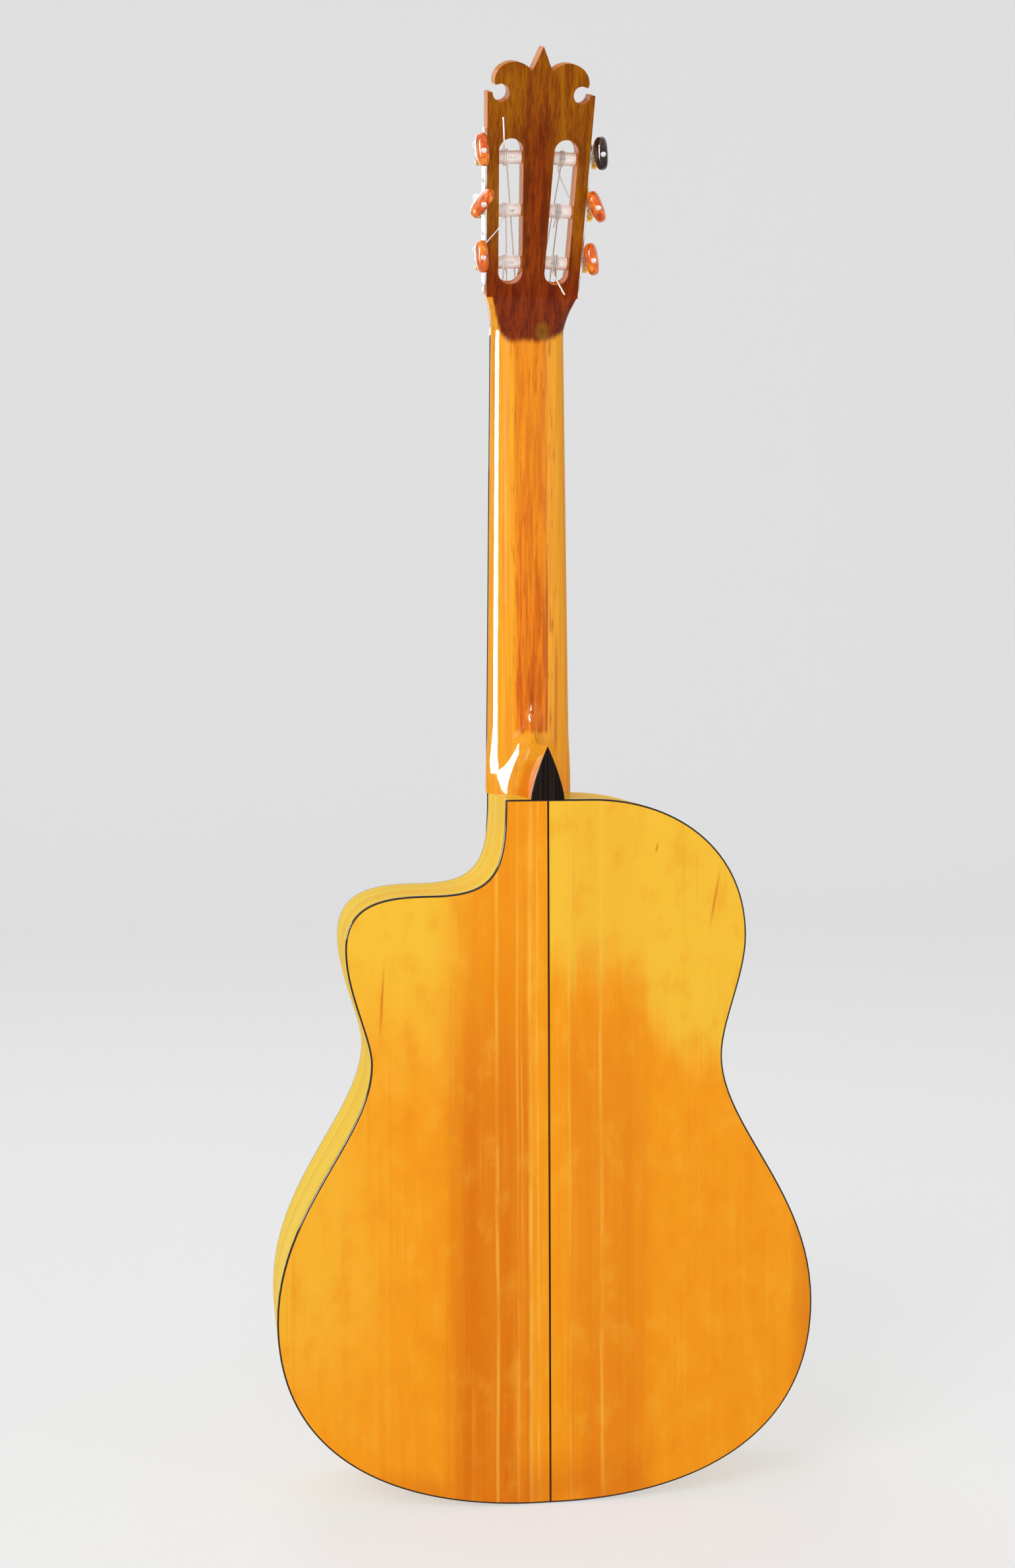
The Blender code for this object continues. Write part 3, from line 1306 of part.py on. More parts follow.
def string_path(number):
    """From behind the tie block, over the saddle and the nut, round the roller and off it."""
    diameter = STRING_DIAMETERS[6 - number]
    radius = diameter / 2
    side, index, wind_on, way, leave, tail = STRING_ROUTES[number]
    outward, upward, rear = side_frame(side)
    seat = roller_seat(side, index)
    block_x = string_x(number, SADDLE_SPREAD_HALF)
    hole_y = -GLUE_GAP - TIE_HOLE_HEIGHT
    path = [
        Vector((block_x, hole_y, BRIDGE_Z - BRIDGE_WIDTH - TIE_END)),
        Vector((block_x, hole_y, BRIDGE_Z - BRIDGE_WIDTH + TIE_BLOCK_WIDTH + TIE_END / 2)),
        Vector((block_x, -STRING_AT_SADDLE - radius, SADDLE_Z)),
    ]
    nut_point = Vector((string_x(number, NUT_SPREAD_HALF), -string_at_nut() - radius, NUT_CREST))
    path.append(nut_point)
    around = ROLLER_RADIUS + ROLLER_PLAY + radius
    pitch = diameter + WINDING_GAP
    arriving = seat + outward * wind_on - rear * around - nut_point
    lean = math.atan2(arriving.dot(rear), arriving.dot(upward))
    sweep = 2 * math.pi * WINDING_TURNS + math.radians(leave) - lean
    steps = round(sweep / (2 * math.pi) * LOOP_POINTS)
    for step in range(steps + 1):
        turned_by = sweep * step / steps
        angle = lean + turned_by
        along = wind_on + way * pitch * turned_by / (2 * math.pi)
        path.append(
            seat + outward * along + around * (math.sin(angle) * upward - math.cos(angle) * rear)
        )
    last = path[-1]
    route = [last] + [seat + outward * n + upward * t + rear * c for n, t, c in tail]
    return path[:-1] + smooth(route, TAIL_STEPS), diameter, pitch


def build_string(number, material):
    points, diameter, pitch = string_path(number)
    data = bpy.data.curves.new(f"string_{number}", "CURVE")
    data.dimensions = "3D"
    data.bevel_depth = diameter / 2
    data.bevel_resolution = 1
    data.use_fill_caps = True
    spline = data.splines.new("POLY")
    spline.points.add(len(points) - 1)
    for spot, point in zip(spline.points, points):
        spot.co = (*point, 1.0)
    data.materials.append(material)
    body = bpy.data.objects.new(f"string_{number}", data)
    bpy.context.scene.collection.objects.link(body)
    print(f"string_{number}: least gap between turns {least_gap(points, diameter) * 1000:.2f} mm")


def least_gap(points, diameter):
    """Least space between a string's turns, measured on points at least half a turn apart."""
    least = 1.0
    apart = LOOP_POINTS // 2
    for i, here in enumerate(points):
        for other in points[i + apart :]:
            least = min(least, (here - other).length)
    return least - diameter


def main():
    clear_scene()
    cypress = make_material("cypress", (0.78, 0.42, 0.10), 0.25)
    rib_cypress = make_material("rib_cypress", (0.86, 0.62, 0.20), 0.25)
    spruce = make_material("spruce", (0.83, 0.66, 0.40), 0.35)
    cedar = make_material("cedar", (0.62, 0.27, 0.06), 0.3)
    head_cedar = make_material("head_cedar", (0.26, 0.10, 0.02), 0.35)
    rosewood = make_material("rosewood", (0.10, 0.035, 0.02), 0.4)
    ebony = make_material("ebony", (0.015, 0.012, 0.010), 0.35)
    bone = make_material("bone", (0.86, 0.82, 0.70), 0.4)
    inlay = make_material("inlay", (0.20, 0.10, 0.05), 0.35)
    acetate = make_material("acetate", (0.90, 0.80, 0.55), 0.1)
    ivory = make_material("ivory_plastic", (0.90, 0.88, 0.84), 0.25)
    brass = make_material("brass", (0.80, 0.60, 0.25), 0.25, 1.0)
    steel = make_material("steel", (0.75, 0.75, 0.75), 0.25, 1.0)
    amber = make_material("amber_plastic", (0.80, 0.30, 0.05), 0.15)
    nylon = make_material("nylon", (0.85, 0.85, 0.85), 0.25)
    build_soundboard(spruce)
    build_rosette(inlay)
    build_tap_plate(acetate)
    build_back(cypress, ebony)
    build_ribs(rib_cypress)
    build_bindings(ebony)
    build_linings(cedar)
    build_tail(ebony, cedar)
    build_foot(cedar)
    build_braces(spruce)
    build_neck(cedar)
    build_heel_cap(ebony)
    build_fingerboard(ebony)
    build_nut(bone)
    build_head(head_cedar, rosewood)
    build_tuners(ivory, brass, steel, amber)
    build_tuner_plate("tuner_plate_treble", 1, steel)
    build_tuner_plate("tuner_plate_bass", -1, steel)
    build_bridge(rosewood, bone)
    for number in range(1, 7):
        build_string(number, nylon)


main()
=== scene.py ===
"""The looks of an upright cutaway flamenco guitar, seen from behind.

Lengths are in metres in the part's own frame: +Z up the neck, the soundboard faces -Y, the back faces +Y
and the cutaway is on the +X side. The origin is at the nut, in the soundboard's plane.
"""

import json
import math

import bmesh
import bpy
from mathutils import Matrix, Vector

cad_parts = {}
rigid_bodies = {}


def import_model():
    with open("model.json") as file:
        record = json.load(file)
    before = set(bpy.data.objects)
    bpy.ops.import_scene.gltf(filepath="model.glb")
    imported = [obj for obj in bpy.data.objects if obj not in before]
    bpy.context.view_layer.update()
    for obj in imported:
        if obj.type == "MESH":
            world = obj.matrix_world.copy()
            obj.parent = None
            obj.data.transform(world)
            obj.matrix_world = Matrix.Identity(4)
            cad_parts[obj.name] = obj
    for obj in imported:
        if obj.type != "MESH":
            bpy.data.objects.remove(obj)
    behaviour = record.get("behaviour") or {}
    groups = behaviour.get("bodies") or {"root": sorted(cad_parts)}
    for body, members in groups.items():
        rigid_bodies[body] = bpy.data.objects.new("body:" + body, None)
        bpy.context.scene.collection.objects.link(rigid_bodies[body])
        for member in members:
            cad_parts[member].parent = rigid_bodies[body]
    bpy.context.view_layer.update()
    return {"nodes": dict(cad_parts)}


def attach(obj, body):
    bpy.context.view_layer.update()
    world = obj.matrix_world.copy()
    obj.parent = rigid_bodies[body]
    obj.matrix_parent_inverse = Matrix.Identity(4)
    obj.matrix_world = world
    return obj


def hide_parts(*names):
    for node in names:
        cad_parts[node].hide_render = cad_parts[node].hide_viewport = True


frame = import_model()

# Body outline, as points across and up from the body's top edge
BODY_TOP = -0.3250
BODY_LENGTH = 0.4805
SHOULDER = (0.0300, 0.0)
UPPER_BOUT = (0.1375, -0.0947)
WAIST = (0.1204, -0.1770)
LOWER_BOUT = (0.1844, -0.3500)
TAIL = (0.0073, -BODY_LENGTH)
CUT = (0.0289, 0.0)
LEDGE = (0.0800, -0.0639)
HORN = (0.1372, -0.1000)

# Its curves: the way out of the last point, the next point, the way back from there, handles and steps
TO_TAIL = (
    ((0, -1), LOWER_BOUT, (0, 1), (0.0493, 0.0768), 24),
    ((0, -1), TAIL, (1, 0), (0.0966, 0.0920), 44),
)
TREBLE_CURVES = (
    ((0, -1), LEDGE, (-1, 0), (0.0509, 0.0432), 24),
    ((1, 0), HORN, (0, 1), (0.0292, 0.0332), 24),
    ((0, -1), WAIST, (0, 1), (0.0290, 0.0183), 16),
    *TO_TAIL,
)
BASS_CURVES = (
    ((1, 0), UPPER_BOUT, (0, 1), (0.0570, 0.0608), 30),
    ((0, -1), WAIST, (0, 1), (0.0277, 0.0236), 16),
    *TO_TAIL,
)

# Body depth, plates and trim
DEPTH_AT_HEEL = 0.0912
DEPTH_AT_TAIL = 0.0960
BACK_ARCH = 0.0030
TOP_THICKNESS = 0.0024
BACK_THICKNESS = 0.0024
RIB_THICKNESS = 0.0020
RIB_SLOT_HALF = 0.0090
BINDING_WIDTH = 0.0012
BINDING_ROUND = 0.0007
STRIP_HALF = 0.0007
STRIP_PROUD = 0.00003
HOLE_RADIUS = 0.0425
HOLE_Z = -0.4780
ROSETTE_INNER = 0.0465
ROSETTE_OUTER = 0.0600
ROSETTE_BORDER = 0.0036
ROSETTE_PROUD = 0.00006
TAP_GAP = 0.0020
TAP_WIDTH = 0.0420
TAP_DROP = 0.1180
TAP_THICKNESS = 0.0006

# Neck, heel and fingerboard
NUT_HALF = 0.0259
JOINT_HALF = 0.0297
NECK_DEPTH_AT_NUT = 0.0155
NECK_DEPTH_AT_HEEL = 0.0190
SHAFT_FULLNESS = 2.3
BOARD_AT_NUT = 0.0065
BOARD_AT_END = 0.0052
BOARD_LENGTH = 0.4370
BOARD_EDGE = 0.0006
BOARD_DRAWN_IN = 0.0009
SCALE_LENGTH = 0.650
FRET_COUNT = 19
FRET_WIDTH = 0.0020
FRET_HEIGHT = 0.0010
NUT_THICKNESS = 0.0055
NUT_STRING_LIFT = 0.0007
NUT_SHOULDER = 0.0028
NUT_CREST = 0.0013
HEEL_RUN = 0.1000
HEEL_ROOT = 0.0180
HEEL_CAP_HALF = 0.0113
HEEL_CAP_LENGTH = 0.0357
HEEL_CAP_THICKNESS = 0.0030
HEEL_TOP_EXTRA_HALF = 0.0168
HEEL_TOP_EXTRA_LENGTH = 0.0300
HEEL_FLARE = 0.0110
HEEL_RISE_FLARE = 0.0070

# Headstock
HEAD_LEAN = math.radians(19.0)
HEAD_FRONT = 0.0015
VENEER_THICKNESS = 0.0025
HEAD_THICKNESS = 0.0180
SCARF = 0.0240
HEAD_SIDE_LOW = 0.0320
HEAD_SIDE_HIGH = 0.0367
EAR_HEIGHT = 0.1593
EAR_INNER = 0.0333
HOOK_RADIUS = 0.00575
HOOK_X = 0.0276
LOBE_FOOT = 0.1643
LOBE_X = 0.0185
LOBE_HEIGHT = 0.1665
LOBE_RADII = (0.0138, 0.0128)
NOTCH_X = 0.0070
NOTCH_HEIGHT = 0.1738
CREST_HEIGHT = 0.1895
CREST_WAIST = 0.0030
SLOT_WALL = 0.0080
SLOT_WIDTH = 0.0168
SLOT_LOW = 0.0323
SLOT_HIGH = 0.1296
RAMP_LOW = 0.0120
RAMP_DEPTH = 0.0057

# Tuners
ROLLER_LOW = 0.0462
ROLLER_PITCH = 0.0351
ROLLER_DEPTH = 0.0110
ROLLER_RADIUS = 0.0045
ROLLER_EDGE = 0.0005
JOURNAL_RADIUS = 0.0030
PIVOT_RADIUS = 0.0024
PIVOT_LENGTH = 0.0060
BORE_PLAY = 0.0002
PLATE_FACE = 0.0015
PLATE_HALF_HEIGHT = 0.0090
PLATE_OVERHANG = 0.0200
GEAR_TEETH = 14
GEAR_PITCH_RADIUS = 0.0049
GEAR_LOW = 0.0032
GEAR_THICKNESS = 0.0036
WORM_PITCH_RADIUS = 0.0024
TOOTH_TIP = 0.0005
TOOTH_ROOT = 0.0008
WORM_TURNS = 2.5
WORM_STEPS = 100
WORM_SHAFT_RADIUS = 0.0013
LUG_THICKNESS = 0.0020
LUG_HALF = 0.0032
SCREW_HEIGHT = 0.0010
BUTTON_START = 0.0138
BUTTON_LENGTH = 0.0170
BUTTON_HALF_LONG = 0.0110
BUTTON_HALF_SHORT = 0.0045
BUTTON_SQUARENESS = 3.0
BUTTON_ANGLES = (4.0, -38.0, 6.0, 14.0, 27.0, 9.0)

# Bridge and strings
SADDLE_Z = -0.6515
BRIDGE_Z = -0.6437
BRIDGE_HALF = 0.0950
BRIDGE_BLOCK_HALF = 0.0415
BRIDGE_WIDTH = 0.0300
TIE_BLOCK_WIDTH = 0.0125
BRIDGE_WING = 0.0030
BRIDGE_HEIGHT = 0.0070
BRIDGE_EDGE = 0.0015
SADDLE_DROP = 0.0078
SADDLE_THICKNESS = 0.0026
SADDLE_SEAT = 0.0025
SADDLE_HALF = 0.0400
TIE_HOLE_HEIGHT = 0.0046
STRING_HOLE_RADIUS = 0.0009
STRING_AT_SADDLE = 0.0099
NUT_SPREAD_HALF = 0.0215
SADDLE_SPREAD_HALF = 0.0290
STRING_DIAMETERS = (0.00112, 0.00091, 0.00076, 0.00104, 0.00083, 0.00074)
WINDING_TURNS = 2
LOOP_POINTS = 24
WINDING_GAP = 0.00045

# How finely the shapes here are cut
BACK_COLUMNS = 16
BOARD_STEPS = 80
HALF_ROUND_STEPS = 48
HEEL_STEPS = 24
ROUND = 32
WHOLE_CIRCLE = 128
SMALL_HOLE = 16
TUBE_SIDES = 12
POINT_RADIUS = 0.00002

TREBLE = Vector((1, 0, 0))
REAR = Vector((0, 1, 0))
UP = Vector((0, 0, 1))


# Meshes


def spread(first, last, steps):
    """Evenly spaced values from the first to the last."""
    return [first + (last - first) * (step / steps) for step in range(steps + 1)]


def turns(sides):
    """The angles of a round shape's corners."""
    return spread(0, 2 * math.pi, sides)[:-1]


def finished_mesh(points, faces, sharp=35.0):
    """A mesh with its faces pointing out, smooth where it is round."""
    mesh = bpy.data.meshes.new("shape")
    mesh.from_pydata([tuple(p) for p in points], [], faces)
    shape = bmesh.new()
    shape.from_mesh(mesh)
    bmesh.ops.recalc_face_normals(shape, faces=shape.faces[:])
    shape.to_mesh(mesh)
    shape.free()
    mesh.shade_smooth()
    mesh.set_sharp_from_angle(angle=math.radians(sharp))
    return mesh


def loft(rings, closed=False, sharp=35.0):
    """Joins rings of equally many points. An open row of rings gets an end face at each end."""
    count = len(rings[0])
    points = [p for ring in rings for p in ring]
    faces = []
    for row in range(len(rings) if closed else len(rings) - 1):
        low = row * count
        high = (row + 1) % len(rings) * count
        for i in range(count):
            j = (i + 1) % count
            faces.append((low + i, low + j, high + j, high + i))
    if not closed:
        faces.append(tuple(reversed(range(count))))
        faces.append(tuple(range(len(points) - count, len(points))))
    return finished_mesh(points, faces, sharp)


def prism(outline, low, high):
    return loft([[p + low for p in outline], [p + high for p in outline]])


def circle(centre, first, second, radius, sides=ROUND):
    """Points round a centre, starting from the first direction towards the second."""
    return [centre + radius * (math.cos(angle) * first + math.sin(angle) * second) for angle in turns(sides)]


def rod(start, end, first, second, radius, sides=ROUND):
    return loft([circle(p, first, second, radius, sides) for p in (start, end)])


def turned(profile):
    """A turned shape about Z from (height, radius) pairs."""
    return loft([circle(UP * height, TREBLE, REAR, max(radius, POINT_RADIUS)) for height, radius in profile])


def joined(meshes):
    """One mesh from several, which keep their places."""
    shape = bmesh.new()
    for mesh in meshes:
        shape.from_mesh(mesh)
        bpy.data.meshes.remove(mesh)
    whole = bpy.data.meshes.new("joined")
    shape.to_mesh(whole)
    shape.free()
    return whole


def moved(mesh, matrix):
    mesh.transform(matrix)
    return mesh


def smooth(points, steps):
    """Points on a smooth curve through the given ones, which keep their places."""
    ends = [2 * points[0] - points[1]] + points + [2 * points[-1] - points[-2]]
    out = [points[0]]
    for a, b, c, d in zip(ends, ends[1:], ends[2:], ends[3:]):
        for t in spread(0, 1, steps)[1:]:
            bend = (2 * a - 5 * b + 4 * c - d) * t * t + (3 * b - a - 3 * c + d) * t**3
            out.append(0.5 * (2 * b + (c - a) * t + bend))
    return out


def refined(rings, steps):
    """More rings between the given ones, on smooth curves through their points."""
    lines = [smooth(list(line), steps) for line in zip(*rings)]
    return [list(ring) for ring in zip(*lines)]


def with_grain(mesh, place):
    """Adds the UV map named grain: length along the grain and place across it, by a vertex's number."""
    layer = mesh.uv_layers.new(name="grain")
    for corner in mesh.loops:
        layer.data[corner.index].uv = place(corner.vertex_index)
    return mesh


def tube(points, radius):
    """A round tube along points, whose grain is its length and its turn."""
    rings = []
    side = None
    for i, here in enumerate(points):
        along = (points[min(i + 1, len(points) - 1)] - points[max(i - 1, 0)]).normalized()
        if side is None:
            side = along.orthogonal().normalized()
        side = (side - along * side.dot(along)).normalized()
        rings.append(circle(here, side, along.cross(side), radius, TUBE_SIDES))
    lengths = [0.0]
    for a, b in zip(points, points[1:]):
        lengths.append(lengths[-1] + (b - a).length)
    mesh = loft(rings, sharp=60)
    return with_grain(mesh, lambda i: (lengths[i // TUBE_SIDES], i % TUBE_SIDES / TUBE_SIDES))


# Objects


def put(name, mesh):
    thing = bpy.data.objects.new(name, mesh)
    bpy.context.scene.collection.objects.link(thing)
    return thing


def piece(name, mesh, finish, node=None, body="guitar"):
    """A piece that rides on a body, with a material, and may stand for a node of the solids."""
    material, slot = finish
    thing = put(name, mesh)
    mesh.materials.clear()
    mesh.materials.append(material)
    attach(thing, body)
    if node:
        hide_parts(node)


def settled(thing):
    """Turns an object's modifiers into its mesh, and gives back that mesh alone."""
    depsgraph = bpy.context.evaluated_depsgraph_get()
    mesh = bpy.data.meshes.new_from_object(thing.evaluated_get(depsgraph))
    bpy.data.objects.remove(thing)
    return mesh


def carved(mesh, cutters):
    """The mesh with others cut from it."""
    thing = put("carving", mesh)
    others = [put("cutter", cutter) for cutter in cutters]
    for other in others:
        change = thing.modifiers.new("carve", "BOOLEAN")
        change.operation = "DIFFERENCE"
        change.solver = "EXACT"
        change.object = other
    result = settled(thing)
    for other in others:
        bpy.data.objects.remove(other)
    return result


def bevelled(mesh, width, segments=3, angle=35.0):
    """The mesh with its sharp edges rounded."""
    thing = put("bevelling", mesh)
    change = thing.modifiers.new("bevel", "BEVEL")
    change.width = width
    change.segments = segments
    change.limit_method = "ANGLE"
    change.angle_limit = math.radians(angle)
    change.harden_normals = True
    return settled(thing)


# Materials


def rgb(red, green, blue):
    """Linear colour from its everyday values up to 255."""
    linear = []
    for value in (red, green, blue):
        share = value / 255
        linear.append(share / 12.92 if share <= 0.04045 else ((share + 0.055) / 1.055) ** 2.4)
    return (*linear, 1.0)


class Value:
    """What a node gives out, in sums that are written as with numbers."""

    def __init__(self, look, socket):
        self.look = look
        self.socket = socket

    def __add__(self, other):
        return self.look.math("ADD", self, other)

    def __radd__(self, other):
        return self.look.math("ADD", other, self)

    def __sub__(self, other):
        return self.look.math("SUBTRACT", self, other)

    def __rsub__(self, other):
        return self.look.math("SUBTRACT", other, self)

    def __mul__(self, other):
        return self.look.math("MULTIPLY", self, other)

    def __abs__(self):
        return self.look.math("ABSOLUTE", self)

    def rise(self, low, high):
        """Smoothly from 0 at low to 1 at high, which may be the smaller."""
        inputs = {"Value": self, "From Min": min(low, high), "From Max": max(low, high)}
        share = self.look.node("ShaderNodeMapRange", inputs, interpolation_type="SMOOTHSTEP")
        return share if low < high else 1.0 - share

    def bell(self, centre, width):
        """1 at the centre, fading to 0 over the width."""
        return abs(self - centre).rise(width, 0.0)


def most(first, *others):
    for other in others:
        first = first.look.math("MAXIMUM", first, other)
    return first


class Look:
    """A material being made, whose colour is laid on in layers. Inputs are numbers, colours or values."""

    def __init__(self, name, colour=None, slot=None, **settings):
        self.material = bpy.data.materials.new(name)
        self.material.use_nodes = True
        self.tree = self.material.node_tree
        self.shader = self.tree.nodes["Principled BSDF"]
        self.colour = colour
        self.slot = slot or name
        for key, value in settings.items():
            key = key.replace("_", " ").title().replace("Ior", "IOR")
            self.shader.inputs[key].default_value = value

    def feed(self, socket, value):
        if isinstance(value, Value):
            self.tree.links.new(value.socket, socket)
        else:
            socket.default_value = value

    def node(self, kind, inputs, output=0, **settings):
        made = self.tree.nodes.new(kind)
        for key, value in settings.items():
            setattr(made, key, value)
        for key, value in inputs.items():
            self.feed(made.inputs[key], value)
        return Value(self, made.outputs[output])

    def math(self, operation, *values):
        return self.node("ShaderNodeMath", dict(enumerate(values)), operation=operation)

    def split(self, vector):
        made = self.tree.nodes.new("ShaderNodeSeparateXYZ")
        self.feed(made.inputs[0], vector)
        return [Value(self, socket) for socket in made.outputs]

    def place(self):
        """Where a point is on the piece at rest, in metres."""
        return self.split(self.node("ShaderNodeTexCoord", {}, "Object"))

    def grain(self):
        """Length along the grain and place across it, from the UV map named grain."""
        return self.split(self.node("ShaderNodeUVMap", {}, uv_map="grain"))[:2]

    def noise(self, point, scales, detail=3.0, roughness=0.5, distortion=0.0):
        stretched = [value * scale if scale else 0.0 for value, scale in zip(point, scales)]
        inputs = {
            "Vector": self.node("ShaderNodeCombineXYZ", dict(enumerate(stretched))),
            "Scale": 1.0,
            "Detail": detail,
            "Roughness": roughness,
            "Distortion": distortion,
        }
        return self.node("ShaderNodeTexNoise", inputs, "Fac")

    def mix(self, share, first, second):
        """Between two colours, each a value or its everyday numbers."""
        first, second = (c if isinstance(c, Value) else rgb(*c) for c in (first, second))
        return self.node("ShaderNodeMix", {0: share, 6: first, 7: second}, 2, data_type="RGBA")

    def over(self, share, colour):
        """Lays a colour over the colour so far."""
        self.colour = self.mix(share, self.colour, colour)

    def done(self, height=None, distance=0.0):
        """Gives the shader its colour and its bump, and gives back the material with its slot."""
        self.feed(self.shader.inputs["Base Color"], self.colour)
        if distance:
            bump = self.node("ShaderNodeBump", {"Distance": distance, "Height": height})
            self.feed(self.shader.inputs["Normal"], bump)
        return self.material, self.slot


def lacquered(name, colour, coat, slot=None, roughness=0.42, coat_roughness=0.06):
    """A look for wood under clear gloss lacquer, which gives all of its gloss."""
    gloss = {"coat_weight": coat, "coat_roughness": coat_roughness, "coat_ior": 1.5}
    return Look(name, colour, slot, roughness=roughness, specular_ior_level=0.0, **gloss)


def back_look():
    """Figured golden wood, whose two halves mirror each other about the dark strip."""
    look = lacquered("back_cypress", (244, 152, 18), coat=0.20)
    x, y, z = look.place()
    half = abs(x)
    shift = (look.noise((x, 0, z), (5, 1, 5), 1) - 0.5) * 0.004
    across = half + shift
    signed = x + shift
    fine = look.noise((across, x, z), (1100, 3, 9))
    middle = look.noise((across, x, z), (240, 2, 3), 2)
    broad = look.noise((across, x, z), (60, 1, 2), 1)
    streaks = look.noise((signed, 7, z), (620, 1, 1.4), 1)
    cloud = look.noise((x, 0, z), (14, 1, 11))

    treble = x.rise(-0.002, 0.002)
    bass = x.rise(0.002, -0.002)
    wave = (cloud - 0.5) * 0.05 + (middle - 0.5) * 0.05 + (broad - 0.5) * 0.03
    boundary = z + wave + half.rise(0.045, 0.095) * 0.052
    pale_bass = bass * boundary.rise(-0.468, -0.418)
    pale_horn = treble * half.rise(0.040, 0.085) * z.rise(-0.560, -0.400)
    pale_edge = treble * half.rise(0.085, 0.165) * z.rise(-0.770, -0.660) * 0.60
    look.over(most(pale_bass, pale_horn, pale_edge) * 0.92, (243, 192, 54))

    ragged = half + (middle - 0.5) * 0.030
    heart = ragged.rise(0.006, 0.022) * ragged.rise(0.080, 0.050)
    strength = (0.16 + z.rise(-0.400, -0.560) * 0.60) * (0.55 + treble * 0.45)
    look.over(heart * strength * (0.45 + broad * 1.1), (214, 104, 2))
    mottle = look.noise((x, 3, z), (60, 1, 34), 4, roughness=0.6)
    look.over(mottle.rise(0.48, 0.70) * 0.30, (232, 128, 8))
    look.over(mottle.rise(0.50, 0.30) * 0.22, (250, 190, 60))
    tone = (fine - 0.5) * 0.55 + (middle - 0.5) * 0.75 + (cloud - 0.5) * 0.50
    look.over(tone.rise(0.05, 0.60) * 0.65, (222, 118, 4))
    look.over(tone.rise(0.0, -0.45) * 0.45, (248, 186, 56))
    lines = streaks.rise(0.62, 0.80) * 0.45
    for centre, width, weight in (
        (0.0076, 0.0016, 0.55),
        (0.0128, 0.0024, 0.65),
        (0.0214, 0.0012, 0.45),
        (0.0355, 0.0020, 0.60),
        (-0.0142, 0.0018, 0.45),
        (-0.0360, 0.0022, 0.55),
    ):
        lines = most(lines, signed.bell(centre, width) * weight)
    broken = look.noise((signed, 11, z), (260, 1, 16), 2)
    look.over(lines * (0.30 + broken.rise(0.36, 0.60) * 0.70), (248, 190, 74))

    rim = z.rise(-0.765, -0.802) * cloud.rise(0.42, 0.62)
    side_rim = bass * half.rise(0.165, 0.182) * z.rise(-0.560, -0.640)
    look.over(most(rim, side_rim) * 0.45, (206, 100, 12))
    for fleck_x, fleck_z, long, lean in (
        (-0.0748, -0.3588, 0.005, 0.2),
        (-0.1152, -0.3950, 0.026, 0.18),
        (0.1130, -0.4600, 0.034, 0.06),
    ):
        down = z - fleck_z
        aside = x - fleck_x + down * lean
        look.over(aside.bell(0.0, 0.0014) * down.bell(0.0, long) * 0.75, (206, 98, 4))
    return look.done(fine, 0.00002)


def rib_look():
    """Pale golden wood whose grain runs round the body."""
    look = lacquered("rib_cypress", (253, 218, 70), coat=0.12)
    along, across = look.grain()
    fine = look.noise((along, across, 0), (10, 1100, 1))
    bands = look.noise((along, across, 0), (2, 150, 1), 2)
    streaks = look.noise((along, across, 5), (3, 110, 1), 1)
    look.over((fine * 0.45 + bands * 0.55).rise(0.35, 0.65), (246, 188, 48))
    look.over(streaks.rise(0.52, 0.72) * 0.6, (255, 236, 120))
    return look.done(fine, 0.00002)


def stained(look, x, y, z):
    """The colour of dark stained wood, olive brown at the crown and redder towards the neck."""
    fine = look.noise((x, y, z), (1200, 400, 16))
    bands = look.noise((x, y, z), (170, 60, 7), 2)
    patches = look.noise((x, y, z), (45, 20, 22))
    grain = (fine * 0.45 + bands * 0.55).rise(0.36, 0.62)
    upper = look.mix(grain, (166, 100, 2), (128, 60, 0))
    lower = look.mix(grain, (142, 54, 0), (98, 26, 0))
    between_slots = x.bell(0.0, 0.022) * z.rise(0.185, 0.110) * 0.9
    redness = most(z.rise(0.080, 0.025), between_slots, patches.rise(0.48, 0.68) * 0.5)
    down = z * 0.8
    aside = x + 0.0085
    knot = look.math("SQRT", down * down + aside * aside).bell(0.0025, 0.0040)
    return look.mix(knot * 0.55, look.mix(redness, upper, lower), (150, 104, 10))


